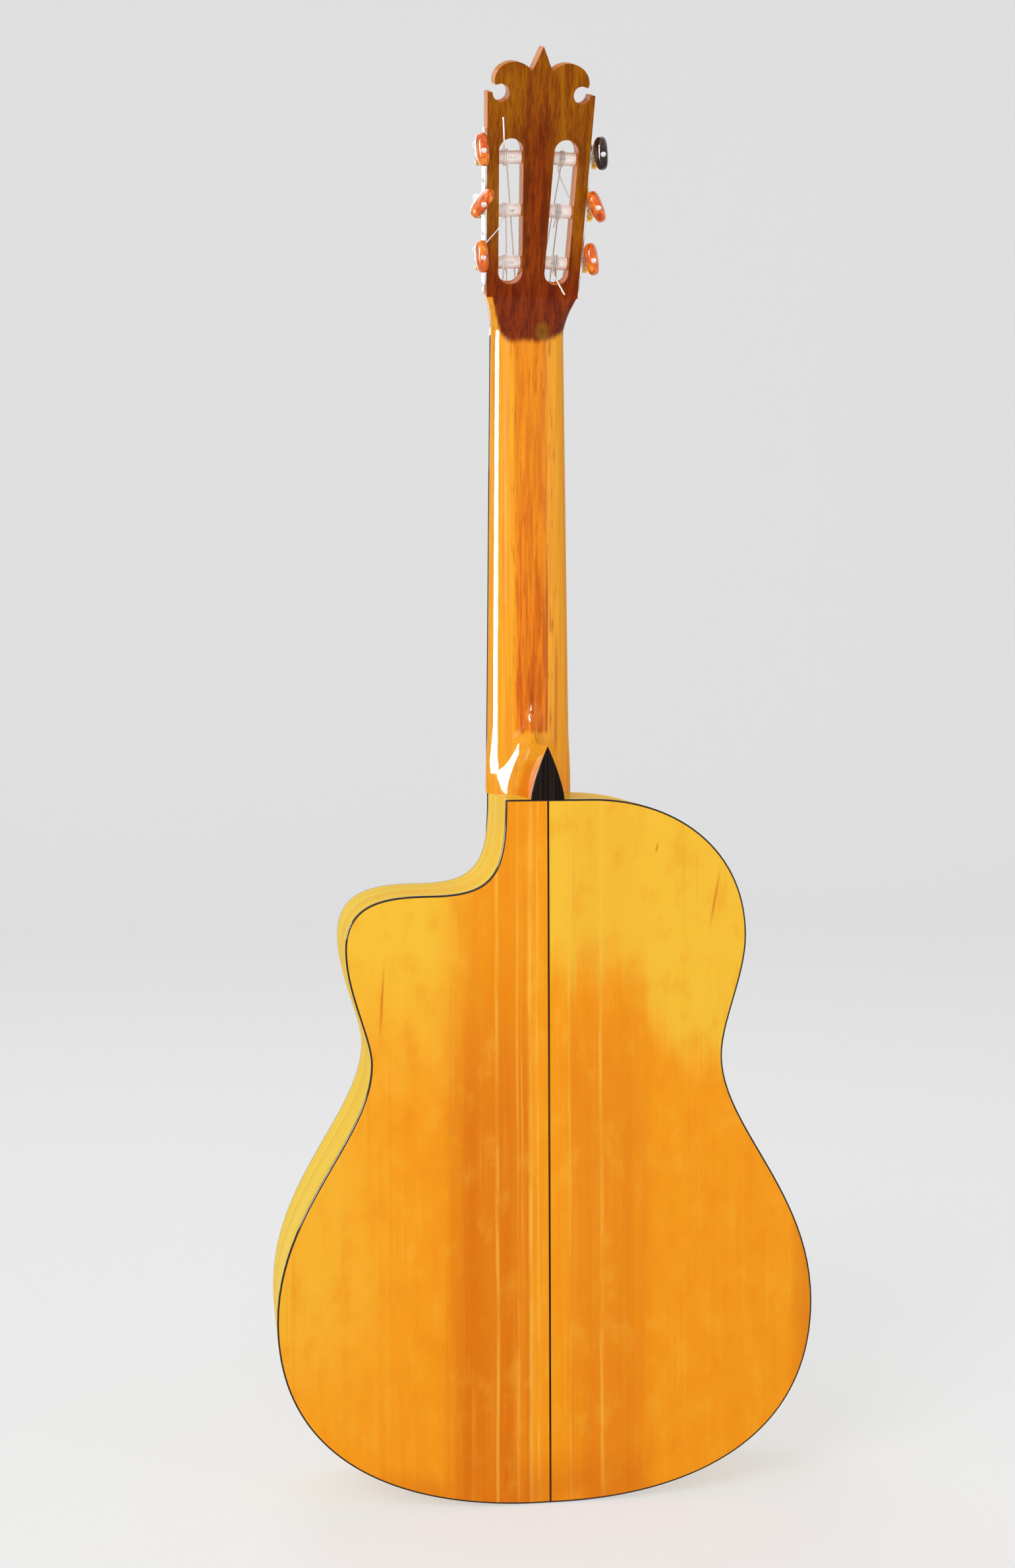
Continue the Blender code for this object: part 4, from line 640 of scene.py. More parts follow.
def neck_look():
    """Reddish cedar with a dark band down its middle that is partly flamed figure and partly a painted
    reflection of dark surroundings, stained darker where the head begins, with painted shade and a painted
    highlight at the heel.
    """
    look = lacquered("neck_cedar", (246, 172, 40), 0.30, "cedar", roughness=0.38, coat_roughness=0.04)
    x, y, z = look.place()
    across = x + (look.noise((x, 0, z), (20, 1, 8), 1) - 0.5) * 0.004
    fine = look.noise((across, y, z), (1300, 500, 14))
    flame = look.noise((across, y, z), (330, 60, 17), 4, roughness=0.6, distortion=0.5)
    dashes = look.noise((across, y, z), (620, 60, 42))
    stripes = look.noise((across, y, z), (420, 200, 5), 2)
    end = (z + (flame - 0.5) * 0.008).rise(-0.2830, -0.2795)
    low_down = z.rise(-0.040, -0.270)
    figure_and_reflection_band = across.rise(0.0125, 0.0090) * across.rise(-0.0125, -0.0105) * end
    look.over(fine.rise(0.35, 0.70), (240, 150, 28))
    look.over(stripes.rise(0.50, 0.72) * 0.40, (226, 128, 12))
    # Painted reflection: the middle band is darkened evenly, more so lower down, where the neck's flat back
    # reflects dark surroundings; the flamed figure is laid over it
    look.over(figure_and_reflection_band * (0.55 + low_down * 0.35), (236, 128, 8))
    look.over(figure_and_reflection_band * (0.40 + low_down * 0.50) * flame.rise(0.40, 0.60), (200, 88, 0))
    wide = across.rise(0.0165, 0.0125) * across.rise(-0.0190, -0.0150) * end
    look.over(wide * dashes.rise(0.56, 0.70) * 0.65, (184, 84, 0))
    edge_line = across.bell(-0.0112, 0.0011) * z.rise(-0.140, -0.190) * end
    look.over(edge_line * 0.65, (150, 68, 0))
    edge_stripe = across.bell(-0.0180, 0.0022) * z.rise(-0.200, -0.240) * z.rise(-0.300, -0.285)
    look.over(edge_stripe * 0.60, (170, 92, 6))
    # Painted shade: a darker orange on the heel's face beside the cap, where less light falls
    painted_facet_shade = y.rise(0.030, 0.045) * z.rise(-0.296, -0.306) * x.rise(0.002, 0.006)
    look.over(painted_facet_shade * 0.75, (234, 122, 12))
    # Painted shade and reflection: the bass-side flank of the heel darkened as it looks in shadow
    painted_flank_shade = x.rise(-0.008, -0.014) * z.rise(-0.302, -0.312) * y.rise(0.020, 0.040)
    look.over(painted_flank_shade * 0.75, (164, 66, 8))
    # Painted highlight: a cream line along the heel's edge beside the cap
    painted_cap_edge_highlight = y.rise(0.0866, 0.0874) * x.rise(0.0, 0.001)
    look.over(painted_cap_edge_highlight * 0.85, (250, 226, 186))
    past_left = most(x - 0.013, 0.0)
    past_right = most(-0.004 - x, 0.0)
    tongue = z + past_left * past_left * -130.0 + past_right * past_right * -18.0 + (flame - 0.5) * 0.008
    look.over(tongue.rise(-0.0095, -0.0040), stained(look, x, y, z))
    return look.done(fine, 0.00002)


def head_look():
    """Dark stained wood of the headstock, bare and lighter on its sides and on the walls of its slots."""
    look = lacquered("head_cedar", None, 0.15, coat_roughness=0.04)
    x, y, z = look.place()
    fine = look.noise((x, y, z), (1200, 400, 16))
    deep = y * HEAD_REAR.y + z * HEAD_REAR.z + -HEAD_START.dot(HEAD_REAR)
    wall = deep.rise(HEAD_DEPTH - 0.0013, HEAD_DEPTH - 0.0020)
    look.colour = stained(look, x, y, z)
    look.over(wall * 0.85, look.mix(fine.rise(0.35, 0.70), (238, 148, 48), (214, 120, 30)))
    return look.done(fine, 0.00003)


def spruce_look():
    """Straight-grained spruce with close dark growth lines."""
    look = lacquered("spruce", (238, 204, 142), coat=0.5)
    x, y, z = look.place()
    half = abs(x)
    across = half + look.noise((half, 0, z), (6, 1, 3), 1) * 0.003
    rings = look.math("SINE", look.math("POWER", across + 0.02, 0.9) * 3600.0)
    fine = look.noise((across, 0, z), (1400, 1, 12), 2)
    silk = look.noise((x, 0, z), (90, 1, 500), 1)
    look.over(rings.rise(0.1, 1.0), (216, 168, 98))
    look.over(fine.rise(0.45, 0.75) * 0.5, (206, 152, 84))
    look.over(silk.rise(0.62, 0.80) * 0.25, (250, 224, 170))
    return look.done(fine, 0.00002)


def rosewood_look(name, roughness, fine_scales, band_scales):
    gloss = {"specular_ior_level": 0.4, "coat_weight": 0.15, "coat_roughness": 0.2}
    look = Look(name, (112, 58, 34), "rosewood", roughness=roughness, **gloss)
    place = look.place()
    fine = look.noise(place, fine_scales)
    bands = look.noise(place, band_scales, 2)
    look.over((fine * 0.5 + bands * 0.5).rise(0.35, 0.65), (48, 22, 16))
    return look.done(fine, 0.00006)


def grained(name, pale, deep, scales, levels, bump=0.0, detail=3.0, slot=None, **settings):
    """A look that turns from a pale to a deep colour with a noise drawn out along the grain."""
    look = Look(name, pale, slot, **settings)
    fine = look.noise(look.place(), scales, detail)
    look.over(fine.rise(*levels), deep)
    return look.done(fine, bump)


def ebony_look(name, pale, deep, coat):
    gloss = {"roughness": 0.35, "specular_ior_level": 0.0, "coat_weight": coat, "coat_roughness": 0.08}
    return grained(name, pale, deep, (1000, 800, 14), (0.40, 0.75), 0.00003, slot="ebony", **gloss)


def inner_look(name, pale, deep, scales):
    """Planed wood without lacquer, as inside the body."""
    return grained(name, pale, deep, scales, (0.35, 0.70), 0.00008, roughness=0.62, specular_ior_level=0.3)


def metal_look(name, bright, dull, roughness):
    """Polished metal with faint rubbing marks."""
    look = Look(name, bright, metallic=1.0, specular_ior_level=0.5)
    place = look.place()
    marks = look.noise(place, (700, 700, 2600))
    look.over(look.noise(place, (120, 120, 120), 2).rise(0.35, 0.70), dull)
    look.feed(look.shader.inputs["Roughness"], roughness + marks * 0.14)
    return look.done(marks, 0.00001)


def button_look(name, pale, middle, deep):
    """Swirled plastic with clear depth under a polished face."""
    gloss = {"roughness": 0.20, "specular_ior_level": 0.2, "coat_weight": 0.45, "coat_roughness": 0.04}
    look = Look(name, pale, "button_plastic", **gloss)
    swirl = look.noise(look.place(), (170, 170, 110), distortion=1.4)
    look.over(swirl.rise(0.34, 0.56), middle)
    look.over(swirl.rise(0.52, 0.74), deep)
    return look.done(swirl, 0.00001)


def nylon_look():
    look = Look("nylon", (252, 252, 250), roughness=0.22, specular_ior_level=0.5)
    faint = look.noise((*look.grain(), 0), (300, 4, 1), 2)
    look.over(faint.rise(0.30, 0.75), (238, 238, 236))
    return look.done()


def wound_look():
    """Silvered wire wound round a core, as fine ridges along the string."""
    look = Look("wound_string", (196, 190, 182), metallic=0.6, roughness=0.30)
    along, turn = look.grain()
    coils = look.math("SINE", (along + turn * 0.00025) * 25100.0)
    look.over(coils.rise(-0.9, 0.2), (250, 248, 244))
    return look.done(coils, 0.00004)


def rosette_look():
    """A mosaic of small dark and light squares, from angle and radius, between striped borders."""
    look = lacquered("rosette", (30, 22, 18), 0.5, "inlay")
    x, y, z = look.place()
    up = z - HOLE_Z
    angle = look.math("ARCTAN2", up, x)
    radius = look.math("SQRT", x * x + up * up)
    checks = look.math("SINE", angle * 68.75 * (2 * math.pi / 3))
    rows = look.math("SINE", (radius - ROSETTE_INNER) * 1400.0 * (math.pi / 1.5))
    field = look.mix((checks * rows).rise(-0.05, 0.05), (56, 28, 16), (214, 160, 86))
    inner = ROSETTE_INNER + ROSETTE_BORDER
    outer = ROSETTE_OUTER - ROSETTE_BORDER
    stripes = look.math("SINE", radius * (2 * math.pi / 0.0012))
    look.over(stripes.rise(-0.1, 0.1), (226, 190, 126))
    look.over(radius.rise(inner, inner + 0.0001) * radius.rise(outer, outer - 0.0001), field)
    return look.done()


# Body


def traced(start, curves):
    """Points along cubic curves one after the other."""
    points = [Vector(start)]
    for leaving, end, back, handles, steps in curves:
        a = points[-1]
        d = Vector(end)
        b = a + Vector(leaving) * handles[0]
        c = d + Vector(back) * handles[1]
        for t in spread(0, 1, steps)[1:]:
            s = 1 - t
            points.append(s**3 * a + 3 * s * s * t * b + 3 * s * t * t * c + t**3 * d)
    return points


TREBLE_SIDE = traced(CUT, TREBLE_CURVES)
BASS_SIDE = [Vector((-p.x, p.y)) for p in traced(SHOULDER, BASS_CURVES)]
CORNERS = TREBLE_SIDE + BASS_SIDE[::-1]


def outline(inset=0.0):
    """The body's closed outline as (across, up) points, drawn in by an inset."""
    drawn = []
    for i, here in enumerate(CORNERS):
        before = (here - CORNERS[i - 1]).normalized()
        after = (CORNERS[(i + 1) % len(CORNERS)] - here).normalized()
        square = Vector((before.y, -before.x))
        inward = (square + Vector((after.y, -after.x))).normalized()
        point = here + inward * (inset / inward.dot(square))
        drawn.append(Vector((point.x, point.y + BODY_TOP)))
    return drawn


def half_outline(side, inset=0.0):
    """The treble (1) or bass (-1) part of the outline, from the neck to the tail."""
    points = outline(inset)
    return points[:len(TREBLE_SIDE)] if side > 0 else points[:len(TREBLE_SIDE) - 1:-1]


def back_y(x, z):
    """The back's outer face: deeper towards the tail, and arched across."""
    depth = DEPTH_AT_HEEL + (DEPTH_AT_TAIL - DEPTH_AT_HEEL) * (BODY_TOP - z) / BODY_LENGTH
    return depth - BACK_ARCH * (x / LOWER_BOUT[0]) ** 2


def at(flat, y):
    return Vector((flat.x, y, flat.y))


def make_back(wood, strip_wood):
    for name, side in (("back_treble", 1), ("back_bass", -1)):
        rings = []
        for point in half_outline(side, BINDING_WIDTH):
            across = spread(side * STRIP_HALF, point.x, BACK_COLUMNS)
            outer = [Vector((x, back_y(x, point.y), point.y)) for x in across]
            rings.append(outer + [p - REAR * BACK_THICKNESS for p in reversed(outer)])
        piece(name + "_panel", loft(rings), wood, name)
    edge = outline(BINDING_WIDTH)
    rings = []
    for z in (edge[0].y, edge[len(TREBLE_SIDE)].y):
        deep = back_y(0, z) + STRIP_PROUD
        corners = ((-1, -BACK_THICKNESS), (1, -BACK_THICKNESS), (1, 0), (-1, 0))
        rings.append([Vector((x * STRIP_HALF, deep + lift, z)) for x, lift in corners])
    piece("centre_strip", loft(rings), strip_wood, "back_strip")


def binding_section(outer, inner, face, foot):
    """A thin strip along an edge whose outer corner is rounded. Face and foot are depths."""
    deeper = math.copysign(BINDING_ROUND, foot - face)
    out = (outer - inner).normalized() * BINDING_ROUND
    ring = [at(inner, foot), at(inner, face)]
    for angle in spread(0, math.pi / 2, 4):
        ring.append(at(outer - out * (1 - math.sin(angle)), face + deeper * (1 - math.cos(angle))))
    return ring + [at(outer, foot)]


def make_bindings(black):
    edges = list(zip(outline(), outline(BINDING_WIDTH)))
    rings = [binding_section(outer, inner, 0.0, TOP_THICKNESS) for outer, inner in edges]
    piece("top_edge_binding", loft(rings, closed=True), black, "top_binding")
    rings = []
    for outer, inner in edges:
        face = back_y(*outer)
        rings.append(binding_section(outer, inner, face, face - BACK_THICKNESS))
    piece("back_edge_binding", loft(rings, closed=True), black, "back_binding")


def make_ribs(wood):
    """The sides, with the length round the body kept for their grain."""
    for name, side in (("rib_treble", 1), ("rib_bass", -1)):
        pairs = list(zip(half_outline(side), half_outline(side, RIB_THICKNESS)))
        tucked = Vector((side * RIB_SLOT_HALF, BODY_TOP))
        tail = Vector((side * TAIL[0], BODY_TOP - BODY_LENGTH))
        inward = Vector((0, RIB_THICKNESS))
        pairs = [(tucked, tucked - inward)] + pairs[:-1] + [(tail, tail + inward)]
        lengths = [0.0]
        for (a, _), (b, _) in zip(pairs, pairs[1:]):
            lengths.append(lengths[-1] + (b - a).length)
        rings = []
        for outer, inner in pairs:
            front = [at(outer, TOP_THICKNESS), at(inner, TOP_THICKNESS)]
            rings.append(front + [at(p, back_y(*p) - BACK_THICKNESS) for p in (inner, outer)])
        mesh = loft(rings)
        with_grain(mesh, lambda i: (side * lengths[i // 4], mesh.vertices[i].co.y))
        piece(name + "_side", mesh, wood, name)


def by_hole(radius, angle, y=0.0):
    """A point round the soundhole's middle."""
    return Vector((radius * math.cos(angle), y, HOLE_Z + radius * math.sin(angle)))


def make_soundboard(wood, rings_look, clear):
    board = prism([at(p, 0) for p in outline(BINDING_WIDTH)], REAR * 0, REAR * TOP_THICKNESS)
    front = by_hole(0, 0, -0.01)
    hole = rod(front, front + REAR * 0.02, TREBLE, UP, HOLE_RADIUS, WHOLE_CIRCLE)
    piece("soundboard_plate", carved(board, [hole]), wood, "soundboard")
    deep = 0.0004
    section = [(ROSETTE_INNER, deep), (ROSETTE_INNER, -ROSETTE_PROUD)]
    section += [(ROSETTE_OUTER, -ROSETTE_PROUD), (ROSETTE_OUTER, deep)]
    rings = [[by_hole(radius, angle, y) for radius, y in section] for angle in turns(WHOLE_CIRCLE)]
    piece("rosette_rings", loft(rings, closed=True), rings_look, "rosette")
    radius = ROSETTE_OUTER + TAP_GAP
    low = math.radians(-80)
    high = math.radians(38)
    steps = 36
    shape = [by_hole(radius, angle) for angle in spread(low, high, steps)]
    for angle in spread(high, low + (high - low) / 9, steps):
        shape.append(by_hole(radius + TAP_WIDTH * math.cos(0.6 * angle), angle))
    for x in (shape[-1].x - 0.012, shape[0].x):
        shape.append(Vector((x, 0, HOLE_Z - TAP_DROP)))
    plate = prism(shape, -REAR * TAP_THICKNESS, -REAR * 0.00002)
    piece("tap_sheet", bevelled(plate, 0.00025), clear, "tap_plate")


# Neck


def neck_half(z):
    return NUT_HALF + (JOINT_HALF - NUT_HALF) * z / BODY_TOP


def neck_depth(z):
    return NECK_DEPTH_AT_NUT + (NECK_DEPTH_AT_HEEL - NECK_DEPTH_AT_NUT) * z / BODY_TOP


HEAD_UP = Vector((0, math.sin(HEAD_LEAN), math.cos(HEAD_LEAN)))
HEAD_REAR = Vector((0, math.cos(HEAD_LEAN), -math.sin(HEAD_LEAN)))
HEAD_START = Vector((0, -HEAD_FRONT, NUT_THICKNESS))
HEAD_DEPTH = VENEER_THICKNESS + HEAD_THICKNESS + 0.0003
HEEL_DEEPEST = DEPTH_AT_HEEL - HEEL_CAP_THICKNESS


def head_point(x, up, deep):
    """A point of the headstock: across, up from the nut and back from the veneer's face."""
    return HEAD_START + TREBLE * x + HEAD_UP * up + HEAD_REAR * deep


def clamp(value):
    return min(max(value, 0.0), 1.0)


def soft_max(a, b, width):
    """The larger of two lengths, rounded over where they are within the width of each other."""
    near = max(width - abs(a - b), 0.0) / width
    return max(a, b) + near * near * width / 4


def shaft_reach(y, z):
    """Half width of the round shaft at a depth."""
    share = clamp(y / neck_depth(z))
    return neck_half(z) * (1 - share**SHAFT_FULLNESS) ** (1 / SHAFT_FULLNESS)


def heel_reach(y, z):
    """Half width of the heel's pointed arch at a depth and a height."""
    wide = math.exp(-(max(y, 0.007) - 0.007) / HEEL_FLARE)
    tall = math.exp(-max(y - HEEL_ROOT, -0.004) / HEEL_RISE_FLARE)
    half = HEEL_CAP_HALF + HEEL_TOP_EXTRA_HALF * wide
    height = HEEL_CAP_LENGTH + HEEL_TOP_EXTRA_LENGTH * tall
    return half * (1 - clamp((z - BODY_TOP) / height) ** (1.4 + 1.2 * wide))


def heel_spine(z):
    """How deep the heel's ridge lies at a height."""
    above = z - BODY_TOP - HEEL_CAP_LENGTH
    if above <= 0:
        return HEEL_DEEPEST
    return min(HEEL_ROOT + HEEL_RISE_FLARE * math.log(HEEL_TOP_EXTRA_LENGTH / above), HEEL_DEEPEST)


def half_round(squareness):
    """Shares across and rearward round a half section, which is squarer the larger the number."""
    shares = []
    for angle in spread(0, math.pi, HALF_ROUND_STEPS):
        across = math.copysign(abs(math.cos(angle)) ** (2 / squareness), math.cos(angle))
        shares.append((across, math.sin(angle) ** (2 / squareness) if 0 < angle < math.pi else 0.0))
    return shares


def neck_ring(start, end):
    """A section of neck and heel along a line from its front (depth, height) to its ridge."""
    ring = []
    for across, share in half_round(SHAFT_FULLNESS):
        y, z = start.lerp(end, share)
        reach = shaft_reach(y, z)
        heel = heel_reach(y, z)
        if heel > 0.0:
            reach = soft_max(reach, heel, 0.0006 + 0.0054 * clamp((0.050 - y) / 0.030))
        reach *= math.sqrt(max(1 - share**14, 0.0))
        ring.append(Vector((math.copysign(reach, across), y, z)))
    return ring


def heel_rings():
    """Sections that swing from across the shaft to across the heel's cap."""
    top = BODY_TOP + HEEL_RUN
    cap_top = BODY_TOP + HEEL_CAP_LENGTH
    ridge = []
    for z in spread(top, cap_top + 0.0045, HEEL_STEPS):
        ridge.append(Vector((soft_max(neck_depth(z), heel_spine(z), 0.006), z)))
    for y in (0.034, 0.038, 0.043, 0.049, 0.056, 0.064, 0.073, 0.0805, HEEL_DEEPEST):
        above = HEEL_TOP_EXTRA_LENGTH * math.exp(-(y - HEEL_ROOT) / HEEL_RISE_FLARE)
        if y > ridge[-1].x:
            ridge.append(Vector((y, cap_top + above)))
    rings = []
    for i, end in enumerate(ridge):
        share = 2 * (i / (len(ridge) - 1)) ** 1.2
        start = Vector((HEEL_DEEPEST * max(share - 1, 0.0), top + (BODY_TOP - top) * min(share, 1.0)))
        rings.append(neck_ring(start, end))
    return rings


def head_section(front, rearward, half, depth, squareness):
    shares = half_round(squareness)
    return [front + TREBLE * (half * across) + rearward * (depth * back) for across, back in shares]


def tilted(angle):
    lean = math.radians(angle)
    return Vector((0, math.cos(lean), -math.sin(lean)))


def make_neck(wood, black):
    rings = heel_rings()[::-1]
    for z in spread(BODY_TOP + HEEL_RUN, -0.020, HEEL_STEPS)[1:]:
        rings.append(neck_ring(Vector((0.0, z)), Vector((neck_depth(z), z))))
    wood_front = VENEER_THICKNESS + 0.0003
    foot_depth = 0.0186
    step_up = -0.0001
    level = (HEAD_FRONT - step_up * math.sin(HEAD_LEAN)) / math.cos(HEAD_LEAN)
    below = [
        rings[-1],
        head_section(UP * -0.006, tilted(6), NUT_HALF, NECK_DEPTH_AT_NUT, 2.4),
        head_section(UP * 0.0005, tilted(14), NUT_HALF, NECK_DEPTH_AT_NUT + 0.0003, 2.5),
        head_section(head_point(0, step_up, level), HEAD_REAR, NUT_HALF, foot_depth - level, 2.6),
    ]
    above = []
    for up, rear, half, squareness in (
        (0.0, foot_depth, NUT_HALF, 2.6),
        (0.0050, 0.0195, 0.0267, 3.0),
        (0.0120, 0.0203, 0.0281, 4.5),
        (0.0180, 0.0207, 0.0298, 8.0),
        (SCARF, HEAD_DEPTH, HEAD_SIDE_LOW, 16.0),
    ):
        front = head_point(0, up, wood_front)
        above.append(head_section(front, HEAD_REAR, half, rear - wood_front, squareness))
    rings += refined(below, 6)[1:] + refined(above, 6)
    piece("neck_and_heel", loft(rings, sharp=50), wood, "neck")
    cap = []
    for aside in spread(-1, 1, 48):
        share = 1 - abs(aside)
        x = math.copysign(HEEL_CAP_HALF * (1 - share**1.4), aside)
        cap.append(Vector((x, 0, BODY_TOP + HEEL_CAP_LENGTH * share)))
    plate = prism(cap, REAR * HEEL_DEEPEST, REAR * DEPTH_AT_HEEL)
    piece("heel_plate", bevelled(plate, 0.0004), black, "heel_cap")


def board_y(z):
    return -BOARD_AT_NUT + (BOARD_AT_NUT - BOARD_AT_END) * -z / BOARD_LENGTH


def board_treble_half(z):
    """The board's treble half width, drawn in a little to lie flush with the rib where the cutaway starts."""
    away = min(abs(z - BODY_TOP + 0.008) / 0.032, 1.0)
    return neck_half(z) - BOARD_DRAWN_IN * (1 - away * away) ** 2


def fret_mesh(z):
    ends = ((0.0002, 0.25), (0.0008, 0.9), (0.0018, 1.0))
    places = [(-neck_half(z) + inset, tall) for inset, tall in ends]
    places += [(board_treble_half(z) - inset, tall) for inset, tall in reversed(ends)]
    sections = []
    for x, tall in places:
        arc = [(-FRET_HEIGHT * tall * math.sin(angle), math.cos(angle)) for angle in spread(0, math.pi, 8)]
        arc += [(0.0004, -1), (0.0004, 1)]
        sections.append([Vector((x, board_y(z) + rise, z + FRET_WIDTH / 2 * aside)) for rise, aside in arc])
    return loft(sections)


def make_fingerboard(black, metal, bone):
    rings = []
    for z in spread(0, -BOARD_LENGTH, BOARD_STEPS):
        face = board_y(z)
        ring = []
        for half, side in ((board_treble_half(z), 1), (neck_half(z), -1)):
            corners = [(half, -0.00005), (half, face + BOARD_EDGE)]
            corners += [(half - 0.3 * BOARD_EDGE, face + 0.3 * BOARD_EDGE), (half - BOARD_EDGE, face)]
            ring += [Vector((side * x, y, z)) for x, y in corners[::side]]
        rings.append(ring)
    piece("board", loft(rings), black, "fingerboard")
    frets = [fret_mesh(-SCALE_LENGTH * (1 - 2 ** (-fret / 12))) for fret in range(1, FRET_COUNT + 1)]
    piece("frets", joined(frets), metal)
    top = BOARD_AT_NUT + FRET_HEIGHT + NUT_STRING_LIFT
    rear = NUT_THICKNESS - 0.0002
    profile = ((0.0, 0.0), (rear, 0.0), (rear, -(top - NUT_SHOULDER)))
    profile += ((NUT_CREST + 0.0016, -(top - 0.0006)), (NUT_CREST, -top), (0.0, -top))
    nut = prism([Vector((0, y, z)) for z, y in profile], -TREBLE * NUT_HALF, TREBLE * NUT_HALF)
    piece("nut_block", bevelled(nut, 0.0003, angle=25), bone, "nut")


# Headstock


def head_side(up):
    return HEAD_SIDE_LOW + (HEAD_SIDE_HIGH - HEAD_SIDE_LOW) * (up - SCARF) / (EAR_HEIGHT - SCARF)


def crown():
    """Right half of the head's crown, from the ear by the hook and the lobe to the crest's tip."""
    points = [(HEAD_SIDE_HIGH, EAR_HEIGHT), (EAR_INNER, EAR_HEIGHT)]
    steps = 28
    opening = math.asin((LOBE_FOOT - EAR_HEIGHT) / HOOK_RADIUS)
    for angle in spread(0, opening - 2 * math.pi, steps)[1:]:
        points.append((HOOK_X + HOOK_RADIUS * math.cos(angle), EAR_HEIGHT + HOOK_RADIUS * math.sin(angle)))
    points.append((LOBE_X + LOBE_RADII[0] - 0.0006, LOBE_FOOT))
    last = math.pi - math.asin((NOTCH_HEIGHT - LOBE_HEIGHT) / LOBE_RADII[1])
    for angle in spread(0, last, steps):
        x = LOBE_X + LOBE_RADII[0] * math.cos(angle)
        points.append((x, LOBE_HEIGHT + LOBE_RADII[1] * math.sin(angle)))
    for x, above in ((NOTCH_X, 0.0002), (CREST_WAIST + 0.0016, 0.005), (CREST_WAIST, 0.009)):
        points.append((x, NOTCH_HEIGHT + above))
    return points


def head_plate(low_halves, front, rear):
    """The head's shape from some half widths below its crown, between two depths."""
    right = low_halves + crown()
    whole = right + [(0.0, CREST_HEIGHT)] + [(-x, up) for x, up in reversed(right)]
    return prism([head_point(x, up, 0) for x, up in whole], HEAD_REAR * front, HEAD_REAR * rear)


def axis_frame(origin, z_axis, x_axis):
    """A right-handed frame at an origin."""
    made = Matrix((x_axis, z_axis.cross(x_axis), z_axis)).transposed().to_4x4()
    made.translation = origin
    return made


class Side:
    """The treble (1) or bass (-1) side of the head, with the directions along its side face."""

    def __init__(self, sign, name):
        flare = math.atan((HEAD_SIDE_HIGH - HEAD_SIDE_LOW) / (EAR_HEIGHT - SCARF))
        self.sign = sign
        self.name = name
        self.outward = math.cos(flare) * sign * TREBLE - math.sin(flare) * HEAD_UP
        self.upward = math.sin(flare) * sign * TREBLE + math.cos(flare) * HEAD_UP

    def face(self, up, deep):
        return head_point(self.sign * head_side(up), up, deep)

    def seat(self, index):
        """Where a roller's axis meets the side face. Index 0 is nearest the nut."""
        return self.face(ROLLER_LOW + ROLLER_PITCH * index, ROLLER_DEPTH)

    def off(self, index, out, up=0.0, deep=0.0):
        """A point beside a roller's seat."""
        return self.seat(index) + self.outward * out + self.upward * up + HEAD_REAR * deep

    def bore(self, index, near, far, radius):
        start = self.off(index, near)
        return rod(start, self.off(index, far), self.upward, HEAD_REAR, radius + BORE_PLAY)

    def slot(self, deep):
        """The string slot's outline at a depth."""
        radius = SLOT_WIDTH / 2
        points = []
        for up, start in ((SLOT_HIGH - radius, 0.0), (SLOT_LOW + radius, math.pi)):
            centre = self.face(up, deep) - self.outward * (SLOT_WALL + radius)
            for angle in spread(start, start + math.pi, 24):
                out = math.cos(angle) * self.outward + math.sin(angle) * self.upward
                points.append(centre + radius * out)
        return points


SIDES = (Side(1, "treble"), Side(-1, "bass"))
PLACES = ("low", "middle", "high")


def slot_cutters(side):
    """The slot and the ramp by which the strings come in."""
    top = SLOT_LOW + SLOT_WIDTH / 2
    x = side.sign * head_side(top)
    corners = ((RAMP_LOW, -0.0005), (RAMP_LOW, -0.004), (top, -0.004), (top, RAMP_DEPTH))
    ramp = [head_point(x, up, deep) for up, deep in corners]
    walls = (SLOT_WALL + 0.0006, SLOT_WALL + SLOT_WIDTH - 0.0006)
    shifts = [-side.outward * wall for wall in walls]
    return [loft([side.slot(-0.005), side.slot(HEAD_DEPTH + 0.005)]), prism(ramp, *shifts)]


def bore_cutters(side):
    far_wall = -SLOT_WALL - SLOT_WIDTH
    cuts = []
    for index in range(len(PLACES)):
        cuts.append(side.bore(index, 0.004, -SLOT_WALL - 0.004, JOURNAL_RADIUS))
        cuts.append(side.bore(index, far_wall + 0.004, far_wall - PIVOT_LENGTH, PIVOT_RADIUS))
    return cuts


def make_head(wood, veneer_wood):
    head = head_plate([(head_side(SCARF), SCARF)], VENEER_THICKNESS, HEAD_DEPTH)
    halves = [(0.0262, 0.0002), (0.0267, 0.005), (0.0281, 0.012), (0.0298, 0.018), (HEAD_SIDE_LOW, SCARF)]
    veneer = head_plate(halves, 0, VENEER_THICKNESS)
    head_cuts = []
    veneer_cuts = []
    for side in SIDES:
        head_cuts += slot_cutters(side) + bore_cutters(side)
        veneer_cuts += slot_cutters(side)
    piece("head_wood", bevelled(carved(head, head_cuts), 0.0010), wood, "headstock")
    piece("head_facing", bevelled(carved(veneer, veneer_cuts), 0.0003), veneer_wood, "head_veneer")


# Tuners


GEAR_MIDDLE = GEAR_LOW + GEAR_THICKNESS / 2
GEAR_TOP = GEAR_LOW + GEAR_THICKNESS
WORM_OFFSET = GEAR_PITCH_RADIUS + WORM_PITCH_RADIUS
WORM_LEAD = 2 * math.pi * GEAR_PITCH_RADIUS / GEAR_TEETH
LUG_INNER = WORM_LEAD * (WORM_TURNS + 1) / 2 + 0.0003


def polar(radius, angle, z):
    return Vector((radius * math.cos(angle), radius * math.sin(angle), z))


